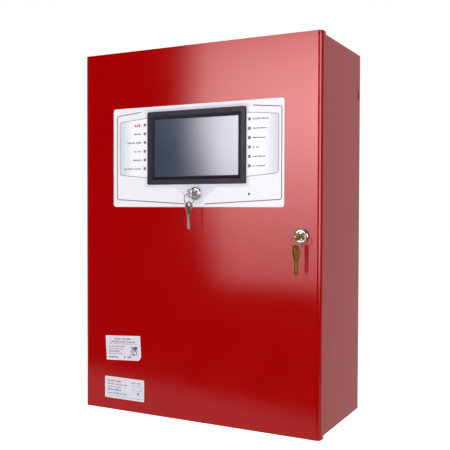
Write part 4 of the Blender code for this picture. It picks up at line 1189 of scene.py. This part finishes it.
class Board:
    """A circuit board in the X-Z plane; its parts stand out towards -Y, or towards +Y when facing is 1."""

    def __init__(self, node, body, start, facing, standoff):
        low, high = self.low, self.high = corners(node)
        end = start + BOARD_THICK
        self.face = facing
        self.back, self.top = (start, end) if facing > 0 else (end, start)
        self.chance = random.Random(node)
        self.piece = Piece(node + "_assembly", body, "circuit_board", node)
        self.piece.add(box((low.x, start, low.z), (high.x, end, high.z), 0.15, 1))
        for x in (low.x + 6, high.x - 6):
            for z in (low.z + 6, high.z - 6):
                self.piece.add(rod(x, z, 2.6, self.back, self.back - facing * standoff, 6), "zinc_steel")
                self.piece.add(pan_screw(x, z, self.top, facing, 2.9), "zinc_steel")

    def out(self, height):
        return self.top + self.face * height

    def block(self, x, z, w, h, d0, d1, finish, radius=0.2):
        self.piece.add(plane_box(x, z, w, h, self.out(d0), self.out(d1), radius), finish)

    def turn(self, x, z, profile, finish, sides=24):
        self.piece.add(turned([(r, self.out(t)) for r, t in profile], (x, 0, z), "Y", sides), finish)

    def disc(self, x, z, radius, d0, d1, finish, sides):
        self.turn(x, z, [(0, d0), (radius, d0), (radius, d1), (0, d1)], finish, sides)

    def chip(self, x, z, w, h, d):
        self.block(x, z, w - 3, h - 3, 0.15, d, "chip_black", 0.25)
        self.disc(x - w / 2 + 3, z + h / 2 - 3, 0.5, d - 0.05, d + 0.02, "ink_grey", 12)
        pitch, near, far = 1.6, self.out(-0.05), self.out(0.35)
        pins = []
        for side in (-1, 1):
            for pz in spread(z, int((h - 5) / pitch), pitch):
                pins.append(plane_box(x + side * (w / 2 - 1.0), pz, 1.8, 0.6, near, far))
            if w > 17:
                for px in spread(x, int((w - 5) / pitch), pitch):
                    pins.append(plane_box(px, z + side * (h / 2 - 1.0), 0.6, 1.8, near, far))
        self.piece.add(joined(pins), "bare_tin")

    def relay(self, x, z, w, h, d):
        self.block(x, z, w, h, 0.3, d, "relay_blue" if d < 16 else "nylon_white", 0.7)
        self.block(x, z, w * 0.7, h * 0.3, d - 0.1, d + 0.03, "label_paper", 0)

    def capacitor(self, x, z, w, h, d):
        r = w / 2
        rim = [(r - 0.6, 0.2), (r, 0.8), (r, 2.0), (r - 0.4, 2.6), (r, 3.2), (r, d - 0.7), (r - 0.6, d)]
        lid = [(r - 1.2, d), (r - 1.2, d - 0.3), (0, d - 0.3)]
        self.turn(x, z, [(0, 0.2)] + rim + lid, "sleeve_dark", 32)
        self.disc(x, z, r - 1.25, d - 0.4, d - 0.1, "aluminium", 32)
        for across, up in ((w * 0.62, 0.5), (0.5, h * 0.62)):
            self.block(x, z, across, up, d - 0.2, d - 0.04, "ink_grey", 0)

    def terminals(self, x, z, w, h, d):
        pitch, long_x = 5.0, w >= h
        run, depth = (w, h) if long_x else (h, w)
        for at in spread(0, int(run / pitch), pitch):
            px, pz = (x + at, z) if long_x else (x, z + at)
            for deep, start, end in ((depth, 0, d - 1.5), (depth * 0.6, d - 1.8, d - 0.3)):
                size = (pitch - 0.15, deep) if long_x else (deep, pitch - 0.15)
                self.block(px, pz, *size, start, end, "terminal_green", 0.3)
            r = pitch * 0.32
            # painted shade: a dark ring round each screw head stands in for its shaded well
            self.disc(px, pz, r + 0.3, d - 0.5, d - 0.25, "chip_black", 16)
            head = [(0, d - 0.4), (r, d - 0.4), (r, d - 0.1), (r - 0.2, d), (0, d)]
            self.turn(px, pz, head, "bare_tin", 16)
            # painted shade: a dark bar across the head stands in for the shaded screw slot
            self.block(px, pz, r * 1.6, 0.45, d - 0.2, d + 0.02, "chip_black", 0)
            # painted shade: a thin dark patch on the side stands in for the shaded wire entry
            if long_x:
                self.block(px, pz - depth / 2 + 0.2, pitch * 0.6, 0.5, 1.5, d - 3, "chip_black", 0)
            else:
                self.block(px - depth / 2 + 0.2, pz, 0.5, pitch * 0.6, 1.5, d - 3, "chip_black", 0)

    def connector(self, x, z, w, h, d):
        pitch = 2.54
        shell = plane_box(x, z, w, h, self.out(0), self.out(d), 0.4)
        hollow = plane_box(x, z, w - 2, h - 2, self.out(1.5), self.out(d + 5))
        self.piece.add(carved(shell, hollow), "nylon_white")
        across, run = sorted((w, h))
        pins = []
        for at in spread(0, max(2, int((run - 3) / pitch)), pitch):
            for row in ((-1, 1) if across > 7 else (0,)):
                px, pz = (x + at, z + row * 1.27) if w >= h else (x + row * 1.27, z + at)
                pins.append(plane_box(px, pz, 0.64, 0.64, self.out(1), self.out(d - 1)))
        self.piece.add(joined(pins), "contact_gold")

    def coil(self, x, z, w, h, d):
        """A transformer: ferrite core round a taped winding."""
        self.block(x, z, w, h * 0.36, 1.0, d - 1.5, "ferrite", 0.6)
        self.block(x, z, w * 0.66, h, 2.5, d - 4, "tape_yellow", 1.6)
        self.block(x, z, w * 0.92, h * 0.94, 0.1, 2.2, "chip_black", 0.4)
        self.block(x, z, w * 0.3, h * 0.38, d - 2.5, d - 0.3, "ferrite", 0.5)

    def heatsink(self, x, z, w, h, d):
        self.block(x, z, min(w, 2.0), h, 0.5, d, "aluminium", 0.2)
        fins = 9
        for i in range(fins):
            fin_z = z + (i - (fins - 1) / 2) * (h - 1.5) / (fins - 1)
            self.block(x, fin_z, w, 1.2, 0.5, d, "aluminium", 0.15)

    def film(self, x, z, w, h, d):
        self.block(x, z, w, h, 0.2, d, "tape_yellow", 0.8)

    def scatter(self, count, keep_out):
        """Small surface parts where nothing else stands."""
        low, high = self.low, self.high
        chips, ends = [], []
        for _ in range(count * 3):
            x = self.chance.uniform(low.x + 5, high.x - 5)
            z = self.chance.uniform(low.z + 5, high.z - 5)
            near_corner = min(x - low.x, high.x - x) < 11 and min(z - low.z, high.z - z) < 11
            blocked = any(abs(x - a) < w / 2 + 3 and abs(z - b) < h / 2 + 3 for a, b, w, h in keep_out)
            if near_corner or blocked:
                continue
            keep_out = keep_out + [(x, z, 1.5, 1.5)]
            w, h = self.chance.choice(((1.6, 0.9), (0.9, 1.6), (2.2, 1.3), (3.6, 2.4)))
            chips.append(plane_box(x, z, w, h, self.out(0.02), self.out(0.6), 0.08))
            end_w, end_h = (w + 0.7, h * 0.9) if w > h else (w * 0.9, h + 0.7)
            ends.append(plane_box(x, z, end_w, end_h, self.out(-0.02), self.out(0.3)))
            if len(chips) >= count:
                break
        self.piece.add(joined(ends), "bare_tin")
        self.piece.add(joined(chips), "chip_black")

    def fit(self, parts, small=40):
        for kind, x, z, w, h, d in parts:
            getattr(self, kind)(x, z, w, h, d)
        self.scatter(small, [(x, z, w, h) for _, x, z, w, h, _ in parts])
        self.piece.make()


def pan_screw(x, z, seat, facing, radius):
    """A pan head with a cross recess."""
    height = radius * 0.62
    profile = [(radius * math.sin(a), seat + facing * height * (1 - 0.55 * (1 - math.cos(a))))
               for a in [math.pi / 2 * i / 5 for i in range(6)]]
    head = turned(profile + [(radius, seat - facing * 0.1), (0, seat - facing * 0.1)], (x, 0, z), "Y", 24)
    deep, clear = seat + facing * height * 0.45, seat + facing * (height + 1)
    bars = [(radius * 1.1, radius * 0.26), (radius * 0.26, radius * 1.1)]
    return carved(head, *[plane_box(x, z, w, h, deep, clear) for w, h in bars])


def main_board():
    Board("main_board", "cabinet", BOARD_START, -1, 7.5).fit([
        ("connector", -166, 133, 10, 30, 7.0),
        ("chip", -120, 150, 28, 28, 2.0),
        ("chip", -84, 158, 14, 20, 1.6),
        ("chip", -84, 130, 14, 20, 1.6),
        ("relay", -120, 110, 20, 12, 9.0),
        ("relay", -50, 150, 18, 18, 14.0),
        ("relay", -24, 150, 18, 18, 14.0),
        ("relay", 2, 150, 18, 18, 14.0),
        ("terminals", -62, 202, 200, 10, 11.0),
        ("terminals", -62, 40, 200, 10, 11.0),
        ("connector", 36, 120, 10, 70, 8.0),
        ("capacitor", -140, 70, 12, 12, 16.0),
        ("capacitor", -120, 70, 12, 12, 16.0),
        ("connector", -70, 76, 40, 10, 6.0),
    ], 120)


def loop_card(side):
    node = "loop_card_" + side
    left = corners(node)[0].x
    Board(node, "cabinet", BOARD_START, -1, 7.5).fit([
        ("terminals", left + 25, 200, 38, 12, 11.0),
        ("coil", left + 16, 160, 18, 22, 15.0),
        ("capacitor", left + 38, 160, 12, 12, 10.0),
        ("chip", left + 25, 122, 20, 20, 2.0),
        ("capacitor", left + 15, 86, 12, 12, 12.0),
        ("relay", left + 36, 86, 12, 20, 8.0),
        ("connector", left + 25, 46, 30, 8, 7.0),
    ])


def display_board():
    x, z = SCREEN.x, SCREEN.z
    Board("display_board", "door", FRONT + 12.5, 1, 2.5).fit([
        ("connector", x - 67, z - 5, 10, 30, 6.0),
        ("chip", x - 20, z + 12, 24, 24, 1.8),
        ("chip", x + 14, z + 16, 14, 18, 1.4),
        ("chip", x + 14, z - 8, 12, 18, 1.4),
        ("film", x + 50, z + 20, 12, 26, 7.0),
        ("coil", x + 50, z - 24, 16, 16, 5.0),
        ("connector", x - 20, z - 32, 40, 8, 6.0),
    ], 70)


def screen_module():
    """The LCD's pressed frame, held to the door by a hat-shaped plate with windows, feet and nuts."""
    low, high = corners("lcd_module")
    x, z = SCREEN.x, SCREEN.z
    module = Piece("lcd_case", "door", "zinc_steel", "lcd_module")
    module.add(box(low, (high.x, low.y + 5.0, high.z), 0.5))
    module.add(plane_box(x, z, 96, 44, low.y + 4, high.y, 0.3), "circuit_board")
    for sx in (-60, 60):
        module.add(plane_box(x + sx, z, 14, 70, low.y + 4.8, low.y + 5.15, 0.1))
    module.make()
    low, high = corners("display_bracket")
    foot, crown = low.y + 0.6, high.y - 0.6
    path = [(-120, foot), (-108, foot), (-108, crown), (108, crown), (108, foot), (120, foot)]
    path = [(x + a, y) for a, y in path]
    cutters = []
    for side in (-1, 1):
        window = rounded_rectangle((x + side * 33, z), (54, 68), 4)
        cutters.append(prism(window, "Y", crown - 3, crown + 3))
        for end in (-1, 1):
            cutters.append(rod(x + side * 88, z + end * 48, 2.5, crown - 3, crown + 3, 24))
    bracket = Piece("screen_bracket", "door", "zinc_steel", "display_bracket")
    bracket.add(carved(folded(path, 1.6, 4, 1.2, "Z", low, high), *cutters))
    for side in (-1, 1):
        for end in (-1, 0, 1):
            bracket.add(hex_nut(x + side * 114, z + end * 46, foot + 0.6, 1, 3.2))
    bracket.make()


def hex_nut(x, z, seat, facing, across):
    """A nut on the end of its stud."""
    height = across * 0.75
    points = arc((x, z), across / math.cos(math.pi / 6), 0, 360, 6)[:-1]
    nut = prism(points, "Y", *sorted((seat - facing * 0.05, seat + facing * height)))
    stud = rod(x, z, across * 0.52, seat, seat + facing * (height + across * 0.4), 20)
    return joined([sharp_edges_rounded(nut, across * 0.09), sharp_edges_rounded(stud, across * 0.08, 1)])


def chassis():
    """A folded plate with screws along its side edges."""
    low, high = corners("chassis_plate")
    face = low.y + 0.6
    path = [(low.x + 0.6, high.y), (low.x + 0.6, face), (high.x - 0.6, face), (high.x - 0.6, high.y)]
    plate = Piece("chassis", "cabinet", "zinc_steel", "chassis_plate")
    plate.add(folded(path, 2.0, 5, 1.2, "Z", low, high))
    for x in (low.x + 7, high.x - 7):
        for z in (low.z + 12, low.z + 130, high.z - 130, high.z - 12):
            plate.add(pan_screw(x, z, low.y, -1, 3.6))
    plate.make()


def field_terminals():
    low, high = corners("field_terminal_strip")
    back, count = high.y, 40
    face = back - 20
    profile = [(back, 222), (back, 250), (back - 12, 250), (face, 243), (face, 229), (back - 12, 222)]
    pitch = (high.x - low.x) / count
    rail = Piece("terminal_row", "cabinet", "terminal_green", "field_terminal_strip")
    for i in range(count):
        x = low.x + (i + 0.5) * pitch
        block = prism(profile, "X", x - pitch / 2 + 0.12, x + pitch / 2 - 0.12)
        rail.add(sharp_edges_rounded(block, 0.35, 1), "nylon_white" if i % 10 == 9 else "terminal_green")
        # painted shade: a dark disc round each screw head stands in for its shaded well
        rail.add(rod(x, 236, 3.2, back - 20.02, back - 19, 20), "chip_black")
        head = rod(x, 236, 2.9, back - 20.15, back - 19, 20)
        rail.add(carved(head, plane_box(x, 236, 7, 0.8, back - 19.8, back - 22)), "bare_tin")
        # painted shade: thin dark plates in the sloped faces stand in for the shaded wire entries, which are
        # not cut
        for z, tilt in ((225.5, 49), (246.5, -49)):
            hole = box((x - 2.3, back - 16.1, z - 2.2), (x + 2.3, back - 15.8, z + 2.2))
            rail.add(moved(hole, (0, 0, 0), tilt, "X", (x, back - 16, z)), "chip_black")
        rail.add(plane_box(x, 241.5, 5, 2.2, back - 20.06, back - 19.9), "label_paper")
    rail.make()


def power_supply():
    """A screened supply: folded tray, its board, and a slotted cover held by screws."""
    low, high = corners("power_supply_tray")
    base = high.y - 0.6
    path = [(low.x + 0.6, low.y), (low.x + 0.6, base), (high.x - 0.6, base), (high.x - 0.6, low.y)]
    wire_hole = prism(circle((-36, -30), 5, 40), "X", low.x - 5, high.x + 5)
    tray = carved(folded(path, 1.8, 4, 1.2, "Z", low, high), wire_hole)
    Piece("supply_tray", "cabinet", "zinc_steel", "power_supply_tray").add(tray).make()
    Board("power_supply_board", "cabinet", base - 7.3, -1, 4.5).fit([
        ("coil", 20, -40, 44, 40, 26.0),
        ("capacitor", 70, -64, 22, 22, 24.0),
        ("capacitor", 70, -26, 16, 16, 22.0),
        ("heatsink", 110, -44, 8, 76, 26.0),
        ("film", 134, -62, 14, 30, 14.0),
        ("connector", 50, -84, 30, 8, 8.0),
        ("terminals", 142, -8, 20, 8, 9.0),
    ])
    low, high = corners("power_supply_cover")
    face = low.y + 0.5
    path = [(high.y, low.z + 0.5), (face, low.z + 0.5), (face, high.z - 0.5), (high.y, high.z - 0.5)]
    slots = []
    for z in (-72, -16):
        for i in range(10):
            slots.append(prism(rounded_rectangle((2 + i * 16, z), (4, 36), 1.95, 5), "Y", face - 4, face + 4))
    cover = Piece("supply_cover", "cabinet", "zinc_steel", "power_supply_cover")
    cover.add(carved(folded(path, 1.6, 4, 1.0, "X", low, high), joined(slots)))
    for x in (low.x + 8, high.x - 8):
        cover.add(pan_screw(x, (low.z + high.z) / 2, low.y, -1, 3.4))
    label = low.y - 0.15
    cover.add(prism(rounded_rectangle((74, -44), (46, 14), 1.5), "Y", label, low.y + 0.1), "label_paper")
    chance = random.Random(5)
    cover.add(word_row(54, -40.6, 2.4, [14, 9], label, chance), "ink_dark")
    cover.add(word_row(54, -46.6, 2.0, [8, 12, 9], label, chance), "ink_grey")
    cover.make()


def mains_input():
    low, high = corners("mains_terminal_block")
    block = Piece("mains_terminals", "cabinet", "white_label", "mains_terminal_block")
    depth = high.y - low.y
    for x in (-163, -151, -139):
        shape = box((x - 6.6, low.y + 6, low.z), (x + 6.6, high.y, high.z), 0.5)
        step = box((x - 6.0, low.y, low.z + 7), (x + 6.0, low.y + depth * 0.7, high.z - 7), 0.8)
        block.add(joined([shape, step]))
        for z in (low.z + 10.5, high.z - 10.5):
            # painted shade: a dark ring round each screw stands in for its shaded well
            block.add(rod(x, z, 2.6, low.y - 0.02, low.y + 1, 24), "chip_black")
            slot = plane_box(x, z, 5, 0.7, low.y - 1, low.y + 0.3)
            block.add(carved(rod(x, z, 2.3, low.y - 0.1, low.y + 1, 24), slot), "bare_tin")
        # painted shade: thin dark plates on the top and bottom stand in for the shaded wire entries
        for z in (low.z - 0.05, high.z - 0.15):
            block.add(box((x - 4.0, low.y + 8, z), (x + 4.0, low.y + 15, z + 0.2)), "chip_black")
    block.make()
    low, high = corners("mains_fuse_holder")
    x, _, z = centre_of("mains_fuse_holder")
    holder = Piece("fuse_holder", "cabinet", "black_plastic", "mains_fuse_holder")
    holder.add(box((low.x, high.y - 12, low.z), high, 0.8))
    cap = [(0, low.y + 0.6), (3.0, low.y + 0.6), (3.6, low.y), (5.0, low.y), (6.0, low.y + 1)]
    cap += [(6.0, high.y - 11), (0, high.y - 11)]
    cutters = [plane_box(x, z, 9, 1.2, low.y - 1, low.y + 1.4)]
    for i in range(16):
        a = 2 * math.pi * i / 16
        cutters.append(rod(x + 6.3 * math.cos(a), z + 6.3 * math.sin(a), 0.6, low.y - 1, high.y - 12.5, 8))
    holder.add(carved(turned(cap, (x, 0, z), "Y", 40), joined(cutters)))
    holder.make()


def batteries():
    chance = random.Random(3)

    def upright_edge(a, b):
        return abs(a.z - b.z) > 1

    for side in ("left", "right"):
        node = "battery_" + side
        low, high = corners(node)
        top = high.z - 9
        lid = top - 18
        case = Piece(node + "_case", "cabinet", "battery_case", node)
        trunk = box((low.x + 0.3, low.y + 0.3, low.z), (high.x - 0.3, high.y, lid - 0.6))
        neck = box((low.x + 0.9, low.y + 0.9, lid - 1), (high.x - 0.9, high.y - 0.6, lid + 0.5))
        cap = rounded(box((low.x, low.y, lid), (high.x, high.y, top)), 3.0, 5, upright_edge)
        case.add(rounded(trunk, 3.0, 5, upright_edge))
        case.add(rounded(neck, 2.6, 5, upright_edge))
        case.add(sharp_edges_rounded(cap, 0.8, 2, 60))
        case.add(box((low.x + 42, low.y + 14, top - 1), (high.x - 42, high.y - 14, top + 1.0), 0.5))
        poles = ((low.x + 20, "cap_red", "wire_red"), (high.x - 20, "chip_black", "wire_black"))
        for x, base, sleeve in poles:
            case.add(box((x - 7, -47, top - 1), (x + 7, -33, top + 3), 0.8), base)
            blade = box((x - 3.2, -40.4, top + 2), (x + 3.2, -39.6, top + 9), 0.2)
            case.add(carved(blade, rod(x, top + 6.4, 1.0, -45, -35, 16)), "bare_tin")
            case.add(box((x - 4.2, -42.2, top + 4.5), (x + 4.2, -37.8, top + 11.5), 1.0), sleeve)
        face, x = low.y + 0.3, centre_of(node)[0]
        case.add(ink(rounded_rectangle((x, low.z + 122 - 9), (120, 28), 2.0), face), "label_paper")
        case.add(word_row(x - 52, low.z + 120, 5.0, [26, 16], face, chance), "ink_blue")
        for up, widths in ((111, [14, 20, 9, 17]), (105, [10, 24, 12])):
            case.add(word_row(x - 52, low.z + up, 2.6, widths, face, chance), "ink_grey")
        case.make()


def battery_bracket():
    node = "battery_bracket"
    low, high = corners(node)
    ear = 12
    front, back = low.y + 0.75, high.y - 0.75
    left, right = low.x + ear, high.x - ear
    path = [(low.x, back), (left, back), (left, front), (right, front), (right, back), (high.x, back)]
    strap = Piece("battery_strap", "cabinet", "zinc_steel", node)
    strap.add(folded(path, 2.2, 5, 1.5, "Z", low, high))
    for x in (low.x + ear / 2 - 0.6, high.x - ear / 2 + 0.6):
        strap.add(hex_nut(x, (low.z + high.z) / 2, back - 0.75, -1, 4.0))
    strap.make()


def earth_studs():
    for node, body, facing in (("cabinet_earth_stud", "cabinet", -1), ("door_earth_stud", "door", 1)):
        low, high = corners(node)
        x, _, z = centre_of(node)
        start, end = (high.y, low.y) if facing < 0 else (low.y, high.y)
        piece = Piece(node + "_fitted", body, "brass_stud", node)
        profile = [(0, start), (5.5, start), (5.5, start + facing * 1.5), (3.0, start + facing * 1.5)]
        thread = start + facing * 1.6
        for i in range(int((abs(end - thread) - 0.4) / 1.0)):
            profile += [(2.6, thread + facing * (i + 0.5)), (3.0, thread + facing * (i + 1.0))]
        piece.add(turned(profile + [(2.4, end), (0, end)], (x, 0, z), "Y"))
        points = arc((x, z), 5.7, 0, 360, 6)[:-1]
        nut = prism(points, "Y", *sorted((start + facing * 8.4, start + facing * 12)))
        piece.add(sharp_edges_rounded(nut, 0.4))
        lug = rod(x, z, 5.4, start + facing * 7.2, start + facing * 8.2, 28)
        piece.add(sharp_edges_rounded(lug, 0.2, 1), "bare_tin")
        piece.make()


def grommets():
    top = BOX_HIGH.z
    wall_low, wall_high = top - SHEET - 0.3, top + 0.3
    for node in ("mains_cable_grommet", "loop_cable_grommet"):
        low, high = corners(node)
        x, y, _ = centre_of(node)
        profile = [(0, top - 1.2), (5.0, top - 1.2), (5.0, low.z + 0.6), (5.6, low.z), (12.2, low.z)]
        profile += [(13, low.z + 0.8), (13, wall_low), (9.5, wall_low), (9.5, wall_high), (13, wall_high)]
        profile += [(12.9, wall_high + 0.7), (12.0, high.z), (5.8, high.z), (5.0, high.z - 0.7)]
        profile += [(5.0, top), (0, top)]
        grommet = turned(profile, (x, y, 0), "Z", 48)
        Piece(node + "_seal", "cabinet", "rubber", node).add(grommet).make(40)


def leads():
    """Battery leads follow the same routes as their CAD wires."""
    top = corners("battery_left")[1].z + 0.6
    outer, inner = 166, 25
    link = [(-inner, -40, top), (-inner, -40, top + 5), (-inner + 12, -41, top + 10)]
    link += [(inner - 12, -41, top + 10), (inner, -40, top + 5), (inner, -40, top)]
    red = [(outer, -40, top), (outer + 2, -42, top + 7), (outer + 14, -46, top + 24)]
    red += [(outer + 19, -46, top + 50), (outer + 18, -42, -42), (outer + 13, -37, -32)]
    red += [(outer + 2, -36, -30), (145, -36, -30)]
    black = [(-outer, -40, top), (-outer + 2, -44, top + 8), (-outer + 30, -50, top + 17), (-92, -52, -94)]
    black += [(-60, -50, -74), (-42, -42, -46), (-30, -36.5, -32), (-16, -36, -30), (-8, -36, -30)]
    for node, finish, route in (
        ("battery_link_lead", "wire_black", link),
        ("battery_lead_red", "wire_red", red),
        ("battery_lead_black", "wire_black", black),
    ):
        Piece(node + "_wire", "cabinet", finish, node).add(tube(smooth_route(route, 10), 1.7, 20)).make(60)


def door_cables():
    """The flat display cable and the green-yellow earth lead."""
    path = [(-72.0, 17.5), (-118, 17.5), (-160, 19), (-183, 26), (-195, 42), (-198, 70)]
    path += [(-198, 110), (-195, 140), (-187, 158), (-178, 165.5), (-171.8, 166.5)]
    route = [tuple(p) for p in smooth_route([(x, FRONT + d) for x, d in path], 8)]
    low, high = corners("display_cable")
    cable = Piece("display_ribbon", "cabinet", "ribbon_grey", "display_cable")
    wires = 20
    pitch = (high.z - low.z) / wires
    for i in range(wires):
        z = low.z + (i + 0.5) * pitch
        core = prism(strip(route, 0.9), "Z", z - pitch * 0.42, z + pitch * 0.42)
        cable.add(core, "cap_red" if i == 0 else "ribbon_grey")
    cable.add(prism(strip(route, 0.5), "Z", low.z + 0.2, high.z - 0.2))
    ribbon = cable.make(ride=False)
    route = [(-176, 12, -67.5), (-176.5, 13, -76), (-180, 20, -92), (-188, 40, -106), (-193, 75, -112)]
    route += [(-194, 115, -106), (-194, 150, -94), (-194.5, 172, -80), (-195, 183, -67.5)]
    points = smooth_route([(x, FRONT + d, z) for x, d, z in route], 10)
    lead = Piece("earth_strap", "cabinet", "wire_earth", "door_earth_lead").add(tube(points, 1.6, 20))
    earth = lead.make(60, ride=False)
    for obj in (ribbon, earth):
        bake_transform(obj)


def show_front():
    for show in (door_panel, back_box, door_bumpers, faceplate, bezel_and_screen, lamps, sounder):
        show()
    for prefix, seat in (("access", FACE_FRONT - 0.05), ("door", FRONT - 0.05)):
        lock_body(prefix, seat)
        lock_nut(prefix)
        lock_plug(prefix, prefix + "_plug")
    spares = [("access_spare_key", "access_spare")]
    key_and_ring("access", "access_key", "access_ring", "nickel", (7.4, 19.0), spares)
    spares = [("door_spare_key_left", "door_spare_left"), ("door_spare_key_right", "door_spare_right")]
    key_and_ring("door", "door_key", "door_ring", "brass", (6.2, 20.5), spares)
    for show in (door_cam, upper_label, lower_label):
        show()


def show_inside():
    for show in (display_board, screen_module, chassis, main_board):
        show()
    for side in ("left", "right"):
        loop_card(side)
    for show in (field_terminals, power_supply, mains_input, batteries, battery_bracket):
        show()
    for show in (earth_studs, grommets, leads, door_cables):
        show()


def dress_cad():
    """Puts each CAD node that stays in its record finish."""
    slot_of = {s["node"]: s["material_slot"] for s in frame["record"]["subparts"]}
    for name, obj in frame["nodes"].items():
        obj.data.materials.clear()
        obj.data.materials.append(FINISH[slot_of[name]])


make_camera()
make_studio()
dress_cad()
show_front()
show_inside()
